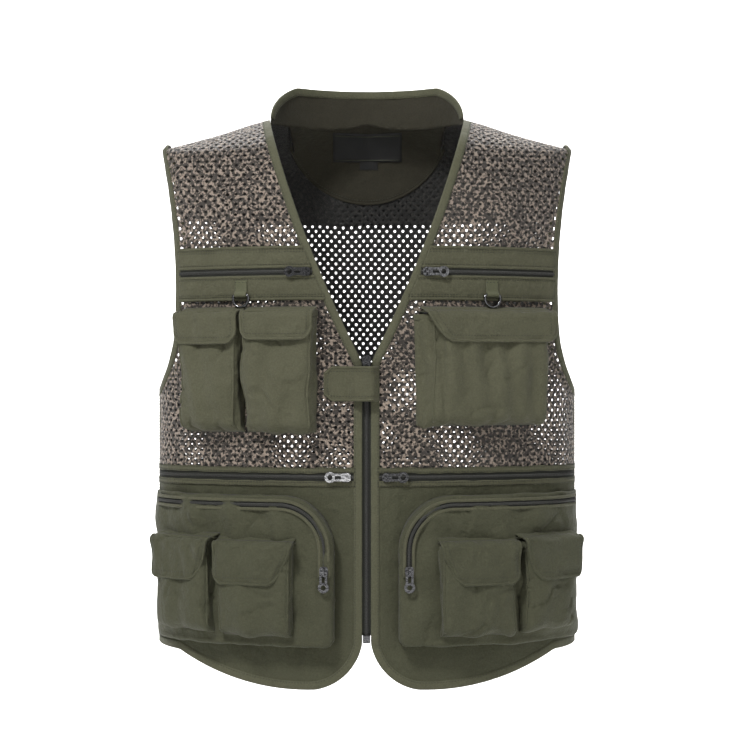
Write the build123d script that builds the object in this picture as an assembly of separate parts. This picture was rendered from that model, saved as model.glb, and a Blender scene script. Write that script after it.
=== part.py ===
from build123d import *
from math import asin, atan, cos, radians, sin, sqrt
import os

os.makedirs("parts", exist_ok=True)

# Millimetres, +Z up. The origin is midway between the shoulders, at the height
# where the neck meets the shoulder seams. The front faces -Y, and the wearer's
# left side is +X. Pieces are named for the wearer's sides.

# torso: a level section of four arcs, closed over at the top by sloping shoulders
half_width = 222.0
half_depth = 120.0
side_radius = 75.0
shoulder_tip_x = 218.0
shoulder_neck_x = 104.0
shoulder_drop = 32.0
shoulder_arch_radius = 150.0
seat = 0.3                 # air between pieces that move past each other

# cloth
cloth = 1.2                # thickness of the net and of the solid fabric
binding_width = 8.8
binding_wrap = 0.8         # how far a binding stands past the cloth
opening_half_gap = 4.4     # from the middle of the front to each front edge

# levels of the front, downwards from the origin
v_neck_low = -254.0
front_hem_low = -595.0
front_hem_side = -561.0
front_hem_inner = -548.0
back_hem = -560.0
underarm = -297.0
waist_top = -370.0
waist_low = -385.0
band_top = -142.0
band_low = -195.0
chest_zip_level = -167.0

# neck
collar_radius = 110.2
collar_centre_y = -36.0
collar_top = 43.0
facing_low = -79.0
facing_half_width = 86.0
yoke_low = -104.0
label_width = 78.0
label_height = 35.0
label_top = 4.0

# zips
tape_half = 5.6
tape = 0.8
coil = 1.2
coil_half = 1.8
slider_length = 10.0
slider_width = 9.0
slider_plate = 1.2
bridge_clear = 2.6         # height inside the slider's bridge
bridge_bar = 1.1
bridge_width = 2.2
pull_length = 22.5
pull_ring_radius = 5.6
pull_hole_radius = 2.6
pull_neck = 8.0
pull_slot = 3.2
pull_thick = 1.4
main_slider_level = -258.0
main_zip_low = -539.0
chest_slider_x = 62.0
waist_slider_x = 21.0
cargo_slider_level = -472.0

# cargo pockets
cargo_depth = 20.0
cargo_bend = 65.2         # from the side in to where the pocket starts to bend back
cargo_side_radius = 125.0
cargo_inner_x = 35.0
cargo_side_y = -4.0
cargo_top = -397.0
cargo_low = front_hem_side + binding_width + 3.4
cargo_corner = 55.0
cargo_zip_inset = 8.0
cargo_wall = 1.5           # cloth and lining together

# pouches: half widths at the base and at the front, depth, levels
pouch_depth = 22.0
small_depth = 15.0
pouch_top = -212.0
pouch_low = -333.0
large_low = -326.0
small_top = -447.0
small_low = -540.0
flap_rise = 6.0            # from a pouch's top edge up to its flap's seam
flap_cloth = 1.4
flap_gap = 1.3             # from a pouch's front to its flap
flap_drop = 28.0
small_flap_drop = 38.0
flap_fold = 8.4            # from the cloth out to a chest flap's fold line
small_flap_fold = 5.0
fold_gap = 0.4

# hardware on the band, and the closing tab
d_ring_x = 128.0
d_ring_half = 8.6
d_ring_wire = 1.35
d_ring_level = -190.5
webbing = 0.9
webbing_width = 13.8
tab_hinge_x = 12.0
tab_reach = 54.0
tab_height = 33.0
tab_level = -282.0
tab_rise = 8.2             # the tab passes this far above the cloth, over the zip
tab_cloth = 1.6

front_radius = (half_width ** 2 + half_depth ** 2 - 2 * side_radius * half_width) / (
    2 * (half_depth - side_radius))
front_centre_y = front_radius - half_depth
side_centre_x = half_width - side_radius
join_angle = asin(side_centre_x / (front_radius - side_radius))
slope = atan(shoulder_drop / (shoulder_tip_x - shoulder_neck_x))
top = 90.0
bottom = -700.0
far = 400.0


def arc(*points):
    """A three-point arc."""
    return ThreePointArc(*points)


def face_of(*edges):
    """The flat face inside a closed chain of edges."""
    return make_face(Wire(list(edges)))


def oval(offset):
    """The torso's level section, offset outwards."""
    r = side_radius + offset
    x = side_centre_x + r * sin(join_angle)
    y = r * cos(join_angle)
    w, d = half_width + offset, half_depth + offset
    return face_of(
        arc((-x, -y), (0, -d), (x, -y)), arc((x, -y), (w, 0), (x, y)),
        arc((x, y), (0, d), (-x, y)), arc((-x, y), (-w, 0), (-x, -y)))


def arch(offset, side):
    """The sloping tunnel that closes the torso over one shoulder."""
    r = shoulder_arch_radius + offset
    low = -shoulder_arch_radius
    plane = Plane(
        origin=(side * shoulder_neck_x, 0, 0), x_dir=(0, 1, 0),
        z_dir=(cos(slope), 0, -side * sin(slope)))
    section = face_of(
        Line((-r, -900), (-r, low)), arc((-r, low), (0, offset), (r, low)),
        Line((r, low), (r, -900)), Line((r, -900), (-r, -900)))
    return extrude(plane * section, 420, both=True)


def core(offset):
    """The torso with closed shoulders, offset outwards."""
    prism = extrude(Pos(0, 0, bottom) * oval(offset), top - bottom)
    return prism & arch(offset, 1) & arch(offset, -1)


def ring(low, high, inner, outer):
    """A level band of the torso between two heights and two offsets."""
    band = oval(outer) - oval(inner)
    return extrude(Pos(0, 0, low) * band, high - low)


def front_prism(face):
    """A shape drawn in the front view, carried through the front half."""
    return extrude(Plane.XZ * face, far)


def back_prism(face):
    """A shape drawn in the front view, carried through the back half."""
    return extrude(Plane.XZ * face, -far)


def rect(x0, x1, z0, z1):
    """A rectangle in the front view."""
    return Pos((x0 + x1) / 2, (z0 + z1) / 2) * Rectangle(x1 - x0, z1 - z0)


def other_side(shape):
    """The same shape on the wearer's right."""
    return mirror(shape, about=Plane.YZ)


def save(name, *solids):
    """Writes one named piece, as one solid or as a group of separate ones."""
    found = [s for shape in solids for s in shape.solids()]
    found = [s for s in found if s.volume > 0.5]
    shape = found[0] if len(found) == 1 else Compound(children=found)
    shape.label = name
    export_step(shape, f"parts/{name}.step")


# outlines in the front view, wearer's left side
armhole_x = shoulder_tip_x - 16.5
side_x = half_width + 20
tip_z = -shoulder_drop


def armhole_edges():
    """The armhole from the side seam up over the shoulder tip."""
    low, bend = (side_x - 14, underarm), (armhole_x, underarm + 75)
    tip = (shoulder_tip_x, tip_z)
    return [
        Line((side_x, underarm), low),
        arc(low, (armhole_x + 5, underarm + 45), bend),
        arc(bend, (armhole_x + 0.5, tip_z - 106), tip),
        Line(tip, (shoulder_tip_x, top))]


def front_outline():
    """Half of the front: hem, side, armhole, shoulder and V neck."""
    x = opening_half_gap
    corner = (52, front_hem_low)
    side = (half_width - 26, front_hem_side)
    middle = ((corner[0] + side[0]) / 2, front_hem_low + 6)
    v_top = (shoulder_neck_x, 2)
    v_low = (x + 3, v_neck_low)
    return face_of(
        Line((x, v_neck_low - 8), (x, front_hem_inner)),
        arc((x, front_hem_inner), (19, front_hem_low + 18), corner),
        arc(corner, middle, side), Line(side, (side_x, front_hem_side + 3)),
        Line((side_x, front_hem_side + 3), (side_x, underarm)), *armhole_edges(),
        Line((shoulder_tip_x, top), (shoulder_neck_x, top)),
        Line((shoulder_neck_x, top), v_top),
        arc(v_top, (54.5, (v_neck_low + 2) / 2 - 24), v_low),
        Line(v_low, (x, v_neck_low - 8)))


def back_outline():
    """The whole back: hem, side seams, armholes and shoulders."""
    half = face_of(
        Line((0, top), (0, back_hem)), Line((0, back_hem), (side_x, back_hem)),
        Line((side_x, back_hem), (side_x, underarm)), *armhole_edges(),
        Line((shoulder_tip_x, top), (0, top)))
    return half + mirror(half, about=Plane.YZ)


def inset(face, by):
    """An outline moved inwards."""
    return offset(face, -by, kind=Kind.INTERSECTION)


front_face = front_outline()
front_panel_face = inset(front_face, binding_wrap)
front_inner_face = inset(front_face, binding_width)
back_face = back_outline()
back_panel_face = inset(back_face, binding_wrap)
back_inner_face = inset(back_face, binding_width)

skin = core(cloth) - core(0)
binding_skin = core(cloth + binding_wrap) - core(-binding_wrap)
neck_hole = Pos(0, collar_centre_y, -200) * Cylinder(
    collar_radius, 500, align=(Align.CENTER, Align.CENTER, Align.MIN))
left_half = rect(0, far, -650, top)

# front panels
front_net = skin & front_prism(front_panel_face & rect(0, far, waist_top, top))
front_lower = skin & front_prism(front_panel_face & rect(0, far, -650, waist_low))
save("front_net_left", front_net)
save("front_net_right", other_side(front_net))
save("front_lower_left", front_lower)
save("front_lower_right", other_side(front_lower))

# back panels
back_all = (skin & back_prism(back_panel_face)) - neck_hole
back_split = back_prism(rect(-far, far, waist_low, top))
save("back_net", back_all & back_split)
save("back_lower_panel", back_all - back_split)

# bindings: strips folded round the edges of the panels
front_strip = front_face - front_inner_face
armhole_zone = rect(armhole_x - 12, far, underarm - 20, top)
front_cloth = skin & front_prism(front_panel_face)
front_binding = (binding_skin & front_prism(front_strip - armhole_zone)) - front_cloth
save("front_binding_left", front_binding)
save("front_binding_right", other_side(front_binding))
arm_front = (binding_skin & front_prism(front_strip & armhole_zone)) - front_cloth
back_strip = (back_face - back_inner_face) & armhole_zone
arm_back = (binding_skin & back_prism(back_strip)) - back_all
armhole_binding = arm_front + arm_back
save("armhole_bindings", armhole_binding, other_side(armhole_binding))
hem_strip = (back_face - back_inner_face) & rect(-far, far, back_hem, back_hem + 12)
hem_ring = ring(back_hem - 5, back_hem + 15, -binding_wrap, cloth + binding_wrap)
save("back_hem_binding", (hem_ring & back_prism(hem_strip)) - back_all)

# neck: stand collar, its bound edge, the solid facing and the doubled net below it
collar_side = (shoulder_neck_x, 2)
collar_face = face_of(
    Line((-shoulder_neck_x, 2), (-shoulder_neck_x, -10)),
    Line((-shoulder_neck_x, -10), (shoulder_neck_x, -10)),
    Line((shoulder_neck_x, -10), collar_side),
    arc(collar_side, (97, 27), (77, collar_top)),
    Line((77, collar_top), (-77, collar_top)),
    arc((-77, collar_top), (-97, 27), (-shoulder_neck_x, 2)))


def collar_tube(inner, outer):
    """The upright wall round the back of the neck."""
    wall = Pos(0, collar_centre_y) * (Circle(outer) - Circle(inner))
    return extrude(Pos(0, 0, -20) * wall, 90) - core(0)


collar_cut = back_prism(inset(collar_face, binding_wrap))
collar = collar_tube(collar_radius - cloth, collar_radius) & collar_cut
collar_rim = collar_face - inset(collar_face, binding_width)
rim_tube = collar_tube(collar_radius - cloth - binding_wrap, collar_radius + binding_wrap)
rim_strip = back_prism(collar_rim & rect(-far, far, 12, top))
save("collar", collar)
save("collar_binding", (rim_tube & rim_strip) - collar)

facing_face = face_of(
    Line((-facing_half_width, top), (-facing_half_width, -20)),
    arc((-facing_half_width, -20), (0, facing_low), (facing_half_width, -20)),
    Line((facing_half_width, -20), (facing_half_width, top)),
    Line((facing_half_width, top), (-facing_half_width, top)))
lining = core(0) - core(-cloth)
yoke_face = (back_inner_face & rect(-far, far, yoke_low, top)) - facing_face
save("neck_facing", (lining & back_prism(facing_face)) - neck_hole)
save("back_yoke_net", (lining & back_prism(yoke_face)) - neck_hole)
label_skin = core(-cloth) - core(-cloth - tape)
label_low = label_top - label_height
label_half = label_width / 2
label = rect(-label_half, label_half, label_low, label_top)
size_tag = rect(-9, 12, label_low - 9, label_low - 0.4)
save("neck_labels", (label_skin & back_prism(label + size_tag)) - neck_hole)

# chest bands, each split by its zip
zip_low = chest_zip_level - tape_half
zip_high = chest_zip_level + tape_half
band_ring = ring(band_low, band_top, cloth, 2 * cloth)
band_face = front_inner_face & left_half
slot = rect(0, far, zip_low, zip_high)
band = band_ring & front_prism(band_face - slot)
save("chest_bands", band, other_side(band))


def level_zip(face, level, base):
    """Tape and coil of a zip that runs level round the front."""
    low, high = level - tape_half, level + tape_half
    across = rect(-far, far, level - coil_half, level + coil_half)
    cloth_tape = ring(low, high, base, base + tape) & front_prism(face & rect(-far, far, low, high))
    teeth = ring(low, high, base + tape, base + tape + coil) & front_prism(face & across)
    return cloth_tape + teeth


chest_zip = level_zip(band_face, chest_zip_level, cloth)
save("chest_zips", chest_zip, other_side(chest_zip))
waist_level = (waist_top + waist_low) / 2
waist_half = (waist_top - waist_low) / 2
waist_tape = ring(waist_low, waist_top, 0, tape) & front_prism(left_half & front_inner_face)
waist_coil = level_zip(left_half & front_inner_face, waist_level, 0)
waist_zip = waist_tape + waist_coil
save("waist_zips", waist_zip, other_side(waist_zip))

# main zip, down the middle of the front
main_tape_in = -binding_wrap - cloth
main_tape = ring(main_zip_low, v_neck_low - 6, main_tape_in, -binding_wrap)
main_tape &= front_prism(rect(2, 16, main_zip_low, v_neck_low - 6))
save("main_zip_tapes", main_tape, other_side(main_tape))
main_coil = ring(main_zip_low, v_neck_low - 2, main_tape_in, 1.0)
save("main_zip_coil", main_coil & front_prism(rect(-2, 2, main_zip_low, v_neck_low - 2)))
box_low = main_zip_low - 8
main_box = ring(box_low, main_zip_low, main_tape_in, 1.6)
save("main_zip_box", main_box & front_prism(rect(-4, 4, box_low, main_zip_low)))


def frame_at(x, radius=front_radius, centre=(0.0, front_centre_y), level=0.0, out=0.0):
    """Local plane on the front: x round the body, y up, z outwards."""
    turn = asin((x - centre[0]) / radius)
    normal = Vector(sin(turn), -cos(turn), 0)
    point = Vector(centre[0], centre[1], level) + normal * (radius + out)
    return Plane(origin=point, x_dir=(cos(turn), sin(turn), 0), z_dir=normal)


def box_at(x0, x1, y0, y1, z0, z1):
    """A block between two corners."""
    return Pos((x0 + x1) / 2, (y0 + y1) / 2, (z0 + z1) / 2) * Box(x1 - x0, y1 - y0, z1 - z0)


def slider():
    """A slider lying flat: x along the zip, z outwards, plate underneath."""
    nose = SlotOverall(slider_length + 2, slider_width)
    plate = extrude(nose & Rectangle(slider_length, slider_width), slider_plate)
    outer_x, inner_x = 3.2, 2.0
    rise = slider_plate + bridge_clear
    bridge = box_at(
        -outer_x, outer_x, -bridge_width / 2, bridge_width / 2,
        slider_plate - 0.4, rise + bridge_bar)
    bridge -= box_at(-inner_x, inner_x, -far, far, slider_plate, rise)
    return plate + bridge


def pull():
    """A pull: x from its crossbar to its ring end, centred on the crossbar."""
    bar = 0.9
    ring_x = pull_length - pull_ring_radius - bar
    neck = Pos((ring_x - bar) / 2, 0) * Rectangle(ring_x + bar, pull_neck)
    shape = neck + Pos(ring_x, 0) * Circle(pull_ring_radius)
    slot_end = ring_x - pull_hole_radius - 2.4
    shape -= Pos((bar + slot_end) / 2, 0) * Rectangle(slot_end - bar, pull_slot)
    shape -= Pos(ring_x, 0) * Circle(pull_hole_radius)
    return Pos(0, 0, -pull_thick / 2) * extrude(shape, pull_thick)


bar_height = slider_plate + bridge_clear / 2


def zip_pair(name, place, side=1):
    """A slider and its pull at a place on the wearer's left or right."""
    for piece, solid in (("slider", slider()), ("pull", Pos(0, 0, bar_height) * pull())):
        solid = place * solid
        save(f"{name}_{piece}", solid if side > 0 else other_side(solid))


main_place = frame_at(0, level=main_slider_level, out=cloth + binding_wrap + seat)
zip_pair("main_zip", main_place * Rot(0, 0, -90))
chest_out = cloth + tape + coil + seat
chest_place = frame_at(chest_slider_x, level=chest_zip_level, out=chest_out)
waist_place = frame_at(waist_slider_x, level=waist_level, out=tape + coil + seat)
for side, word in ((1, "left"), (-1, "right")):
    zip_pair(f"chest_zip_{word}", chest_place, side)
    zip_pair(f"waist_zip_{word}", waist_place, side)

# cargo pockets: a shell that stands out at the front and dies into the side seam
cargo_radius = front_radius + cargo_depth
turn = asin((half_width - cargo_bend) / cargo_radius)
cargo_side_centre = (
    (cargo_radius - cargo_side_radius) * sin(turn),
    front_centre_y - (cargo_radius - cargo_side_radius) * cos(turn))


def cargo_plan(offset):
    """Level section through a cargo pocket, body side included."""
    inner = cargo_inner_x - offset
    side_y = cargo_side_y + offset
    big, small = cargo_radius + offset, cargo_side_radius + offset
    cx, cy = cargo_side_centre

    def front(angle):
        return (big * sin(angle), front_centre_y - big * cos(angle))

    def flank(angle):
        return (cx + small * sin(angle), cy - small * cos(angle))

    start = asin(inner / big)
    end = radians(90) + asin((side_y - cy) / small)
    return face_of(
        arc(front(start), front((start + turn) / 2), front(turn)),
        arc(flank(turn), flank((turn + end) / 2), flank(end)),
        Line(flank(end), (inner, side_y)), Line((inner, side_y), front(start)))


def cargo_front(offset):
    """Front outline of a cargo pocket, with its rounded upper inner corner."""
    x0, z0, z1 = cargo_inner_x - offset, cargo_low - offset, cargo_top + offset
    radius = cargo_corner + offset
    mid = radius * (1 - sqrt(0.5))
    return face_of(
        Line((x0, z0), (x0, z1 - radius)),
        arc((x0, z1 - radius), (x0 + mid, z1 - mid), (x0 + radius, z1)),
        Line((x0 + radius, z1), (side_x, z1)), Line((side_x, z1), (side_x, z0)),
        Line((side_x, z0), (x0, z0)))


def cargo_solid(offset, front_offset):
    """A cargo pocket filled in, between two heights."""
    block = extrude(Pos(0, 0, cargo_low - 20) * cargo_plan(offset), cargo_top - cargo_low + 40)
    return block & front_prism(cargo_front(front_offset))


panel_core = extrude(Pos(0, 0, bottom) * oval(cloth), -bottom)
cargo_block = cargo_solid(0, 0)
cargo_pocket = cargo_block - cargo_solid(-cargo_wall, -cargo_wall) - panel_core
save("cargo_pocket_left", cargo_pocket)
save("cargo_pocket_right", other_side(cargo_pocket))


def zip_path(half, inner, outer):
    """A strip round a cargo pocket's top and inner edge, on its front."""
    strip = cargo_front(half - cargo_zip_inset) - cargo_front(-half - cargo_zip_inset)
    strip &= rect(0, half_width - 12, cargo_slider_level - 6, top)
    skin_block = extrude(
        Pos(0, 0, cargo_low) * (cargo_plan(outer) - cargo_plan(inner)), -cargo_low)
    return skin_block & front_prism(strip)


cargo_zip = zip_path(4.0, 0, tape) + zip_path(coil_half - 0.2, tape, tape + coil)
save("cargo_zips", cargo_zip, other_side(cargo_zip))
cargo_zip_x = cargo_inner_x + cargo_zip_inset
cargo_place = frame_at(
    cargo_zip_x, cargo_radius, level=cargo_slider_level, out=tape + coil + seat)
for side, word in ((1, "left"), (-1, "right")):
    zip_pair(f"cargo_zip_{word}", cargo_place * Rot(0, 0, -90), side)


# planes inside a local frame: level section (x, outwards), side section (outwards, up)
level_plane = Plane(origin=(0, 0, 0), x_dir=(1, 0, 0), z_dir=(0, -1, 0))
side_plane = Plane(origin=(0, 0, 0), x_dir=(0, 0, 1), z_dir=(-1, 0, 0))


def pouch(base_left, base_right, left, right, depth, low, high):
    """Open-topped pouch in its local frame: front wall, gusset and bottom."""

    def block(wall, floor, height):
        section = Polyline(
            (base_left + wall, -14), (left + wall, depth - wall),
            (right - wall, depth - wall), (base_right - wall, -14), close=True)
        solid = extrude(level_plane * make_face(section), height - floor)
        return Pos(0, height, 0) * solid

    return block(0, low, high) - block(cloth, low + cloth, high + 5)


def slab(x0, x1, profile):
    """A shape of one side section (outwards, up), carried along the local x."""
    return Pos(x1, 0, 0) * extrude(side_plane * make_face(profile), x1 - x0)


def root_strip(left, right, fold, seam):
    """Sewn edge of a flap, from the cloth out to the fold line."""
    out = fold - fold_gap
    return slab(left, right, Polyline(
        (-12, seam - flap_cloth), (-12, seam), (out, seam), (out, seam - flap_cloth),
        close=True))


def flap(left, right, depth, high, drop, slant, fold):
    """Flap from its fold line, out over the pouch and down its front."""
    seam = high + flap_rise
    front = depth + flap_gap
    solid = slab(left, right, Polyline(
        (fold, seam - flap_cloth), (fold, seam), (front + flap_cloth, high + 3.4),
        (front + flap_cloth, high - drop), (front, high - drop), (front, high + 1.8),
        close=True))
    corner = 8.0
    outline = Polyline(
        (left, seam + 5), (right, seam + 5), (right, high - drop + corner),
        (right - corner * 0.7, high - drop), (left + slant + corner * 0.7, high - drop),
        (left + slant, high - drop + corner), close=True)
    return solid & extrude(make_face(outline), 60, both=True)


def pouch_with_flap(name, place, base, plan, levels, cover, side=1):
    """Saves a pouch, trimmed to what it is sewn to, and its flap."""
    base_left, base_right, left, right, depth = plan
    low, high = levels
    flap_left, flap_right, drop, slant, fold = cover
    bag = place * pouch(base_left, base_right, left, right, depth, low, high) - base
    strip = place * root_strip(flap_left, flap_right, fold, high + flap_rise) - base
    lid = place * flap(flap_left, flap_right, depth, high, drop, slant, fold)
    pieces = ((f"{name}_pouch", (bag, strip)), (f"{name}_flap", (lid,)))
    for word, solids in pieces:
        save(word, *(s if side > 0 else other_side(s) for s in solids))


large_place = frame_at(121.0)
pouch_with_flap(
    "chest_large", large_place, panel_core, (-75, 68, -52, 66, pouch_depth),
    (large_low, pouch_top), (-70, 72, flap_drop - 2, 17, flap_fold))
inner_pouch_x = 87.0
pouch_spacing = 73.63      # between the middles of the two narrow pouches, round the front
inner_place = frame_at(inner_pouch_x)
pouch_with_flap(
    "chest_inner", inner_place, panel_core, (-37, 37, -37, 37, pouch_depth),
    (pouch_low, pouch_top), (-37.5, 37.5, flap_drop - 4, 0, flap_fold), -1)
outer_arc = asin(inner_pouch_x / front_radius) + pouch_spacing / front_radius
outer_place = frame_at(front_radius * sin(outer_arc))
pouch_with_flap(
    "chest_outer", outer_place, panel_core, (-34, 34, -34, 34, pouch_depth),
    (pouch_low, pouch_top), (-34.5, 38.5, flap_drop, 0, flap_fold), -1)

cargo_base = cargo_block + panel_core
near_place = frame_at(half_width - 110, cargo_radius)
far_place = frame_at(half_width - 37, cargo_side_radius, cargo_side_centre)
far_rise = 3.0
for side, word in ((1, "left"), (-1, "right")):
    pouch_with_flap(
        f"cargo_near_{word}", near_place, cargo_base, (-39, 39, -39, 39, small_depth),
        (small_low, small_top), (-42, 42, small_flap_drop, 0, small_flap_fold), side)
    pouch_with_flap(
        f"cargo_far_{word}", far_place, cargo_base, (-36, 36, -36, 36, small_depth),
        (small_low + far_rise, small_top + far_rise),
        (-41, 41, small_flap_drop, 0, small_flap_fold), side)


# webbing tabs and D-rings on the chest bands
ring_out = 2 * cloth + webbing + d_ring_wire + seat + 0.1
ring_place = frame_at(d_ring_x, level=d_ring_level)


def d_ring_tab():
    """Webbing folded round the ring's bar and sewn to the band."""
    hole = d_ring_wire + seat
    profile = Pos(0, ring_out) * Circle(hole + webbing)
    profile += rect(0, 15, 2 * cloth, ring_out + hole * 0.4)
    profile -= Pos(0, ring_out) * Circle(hole)
    solid = extrude(profile, webbing_width / 2, both=True)
    return Plane(origin=(0, 0, 0), x_dir=(0, 1, 0), z_dir=(1, 0, 0)) * solid


def d_ring():
    """Bar, two short legs and a half round of wire, bent with small corners."""
    r, leg, corner = d_ring_half, 4.0, 2.2
    mid = corner * (1 - sqrt(0.5))
    path = Wire([
        Line((corner - r, 0), (r - corner, 0)),
        arc((r - corner, 0), (r - mid, -mid), (r, -corner)),
        Line((r, -corner), (r, -leg)), arc((r, -leg), (0, -leg - r), (-r, -leg)),
        Line((-r, -leg), (-r, -corner)),
        arc((-r, -corner), (mid - r, -mid), (corner - r, 0))])
    wire = sweep(Plane(origin=path @ 0, z_dir=path % 0) * Circle(d_ring_wire), path=path)
    return Pos(0, 0, ring_out) * wire


tab = ring_place * d_ring_tab()
save("d_ring_tabs", tab, other_side(tab))
for side, word in ((1, "left"), (-1, "right")):
    solid = ring_place * d_ring()
    save(f"d_ring_{word}", solid if side > 0 else other_side(solid))


def closing_tab():
    """Tab sewn at one end, rising over the zip to its blunt-pointed end."""
    base = cloth + binding_wrap + 0.4
    x = tab_hinge_x
    path = Polyline(
        (x, base), (x - 2, base), (x - 4.5, tab_rise), (x - 23, tab_rise),
        (x - 30, base), (x - tab_reach, base))
    section = offset(path, tab_cloth / 2, side=Side.BOTH)
    solid = extrude(level_plane * make_face(section.edges()), tab_height / 2, both=True)
    point = 8.0
    half = tab_height / 2
    x0 = x - tab_reach
    outline = Polyline(
        (x + 5, -half), (x + 5, half), (x0 + point, half), (x0, half - point),
        (x0, point - half), (x0 + point, -half), close=True)
    return solid & extrude(make_face(outline), 60, both=True)


save("closing_tab", frame_at(0, level=tab_level, out=tab_cloth / 2 + seat) * closing_tab())

# loop patches on the pouches, under the flaps
patch = 0.6


def patches(place, centres, depth, high, width=14.0):
    """Loop patches on a pouch's front, below its top edge."""
    return [
        place * box_at(x - width / 2, x + width / 2, high - 22, high - 8, depth, depth + patch)
        for x in centres]


loops = patches(large_place, (-32, 38), pouch_depth, pouch_top)
for place, depth, high in (
        (near_place, small_depth, small_top), (far_place, small_depth, small_top + far_rise)):
    pair = patches(place, (0,), depth, high, 30.0)
    loops += pair + [other_side(p) for p in pair]
for place in (inner_place, outer_place):
    loops += [other_side(p) for p in patches(place, (0,), pouch_depth, pouch_top, 30.0)]
tab_pad = 11.0             # half the height of the pad under the closing tab's free end
pad = ring(tab_level - tab_pad, tab_level + tab_pad, cloth, 2 * cloth)
loops.append(pad & front_prism(rect(-37, -19, tab_level - tab_pad, tab_level + tab_pad)))
save("loop_patches", *loops)
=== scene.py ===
import bmesh
import bpy
import math
import numpy as np
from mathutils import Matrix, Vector


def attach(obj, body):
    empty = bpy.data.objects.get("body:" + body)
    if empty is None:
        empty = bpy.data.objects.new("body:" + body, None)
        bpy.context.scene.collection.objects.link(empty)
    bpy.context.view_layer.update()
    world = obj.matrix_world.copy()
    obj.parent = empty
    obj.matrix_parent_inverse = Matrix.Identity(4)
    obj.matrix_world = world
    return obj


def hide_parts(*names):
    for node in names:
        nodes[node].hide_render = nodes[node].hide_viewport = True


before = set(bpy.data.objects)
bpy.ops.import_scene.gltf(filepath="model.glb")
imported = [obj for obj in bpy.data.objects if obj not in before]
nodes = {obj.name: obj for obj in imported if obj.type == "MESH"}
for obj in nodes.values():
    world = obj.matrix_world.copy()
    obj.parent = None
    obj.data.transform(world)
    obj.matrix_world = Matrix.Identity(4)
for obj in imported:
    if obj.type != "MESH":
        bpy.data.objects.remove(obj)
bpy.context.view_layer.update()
scene = bpy.context.scene
print("frame loaded", len(nodes), "nodes")

# sizes are in millimetres, and meshes are written in metres
body = {
    "halfWidth": 222.0, "halfDepth": 120.0, "sideRadius": 75.0, "archRadius": 150.0,
    "neckX": 104.0, "tipX": 218.0, "drop": 32.0, "blend": 10.0,
    "collarRadius": 110.2, "collarY": -36.0, "collarTop": 43.0,
    "vLow": -254.0, "centreX": 4.4, "hemLow": -595.0, "hemSide": -561.0, "hemInner": -548.0,
    "backHem": -560.0, "underarm": -297.0, "waistTop": -370.0, "waistLow": -385.0,
    "bandTop": -142.0, "bandLow": -195.0, "chestZip": -167.0, "waistZip": -377.5,
}
frontRadius = (body["halfWidth"] ** 2 + body["halfDepth"] ** 2
               - 2 * body["sideRadius"] * body["halfWidth"]) / (
                   2 * (body["halfDepth"] - body["sideRadius"]))
frontY = frontRadius - body["halfDepth"]
sideX = body["halfWidth"] - body["sideRadius"]
joinAngle = math.asin(sideX / (frontRadius - body["sideRadius"]))
joinQ = frontRadius * joinAngle
seamQ = joinQ + body["sideRadius"] * (math.pi / 2 - joinAngle)  # girth from centre front to side seam
slope = math.atan(body["drop"] / (body["tipX"] - body["neckX"]))


# the torso surface
def smooth(t):
    t = np.clip(t, 0, 1)
    return t * t * (3 - 2 * t)


def ovalDepth(x):
    ax = np.abs(x)
    front = np.sqrt(np.maximum(frontRadius ** 2 - ax ** 2, 0)) - frontY
    side = np.sqrt(np.maximum(body["sideRadius"] ** 2 - (ax - sideX) ** 2, 0))
    return np.where(ax <= frontRadius * math.sin(joinAngle), front, side)


def ridge(x):
    return -(np.abs(x) - body["neckX"]) * math.tan(slope)


def depthAt(x, z):
    r = body["archRadius"]
    v = (z - ridge(x)) * math.cos(slope)
    arch = np.where(v > -r, np.sqrt(np.maximum(r ** 2 - (r + v) ** 2, 1e-6)), r)
    oval = np.maximum(ovalDepth(x), 1e-3)
    arch = np.where(v >= 0, 1e-3, np.maximum(arch, 1e-3))
    k = body["blend"]
    return (oval ** -k + arch ** -k) ** (-1 / k)


def xLow(q):
    a = np.abs(q)
    front = frontRadius * np.sin(np.minimum(a, joinQ) / frontRadius)
    turn = joinAngle + np.maximum(a - joinQ, 0) / body["sideRadius"]
    side = sideX + body["sideRadius"] * np.sin(np.minimum(turn, math.pi / 2))
    return np.sign(q) * np.where(a <= joinQ, front, side)


def qLow(x):
    a = np.minimum(np.abs(x), body["halfWidth"])
    front = frontRadius * np.arcsin(np.clip(a / frontRadius, 0, 1))
    side = joinQ + body["sideRadius"] * (
        np.arcsin(np.clip((a - sideX) / body["sideRadius"], -1, 1)) - joinAngle)
    return np.sign(x) * np.where(a <= frontRadius * math.sin(joinAngle), front, side)


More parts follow.
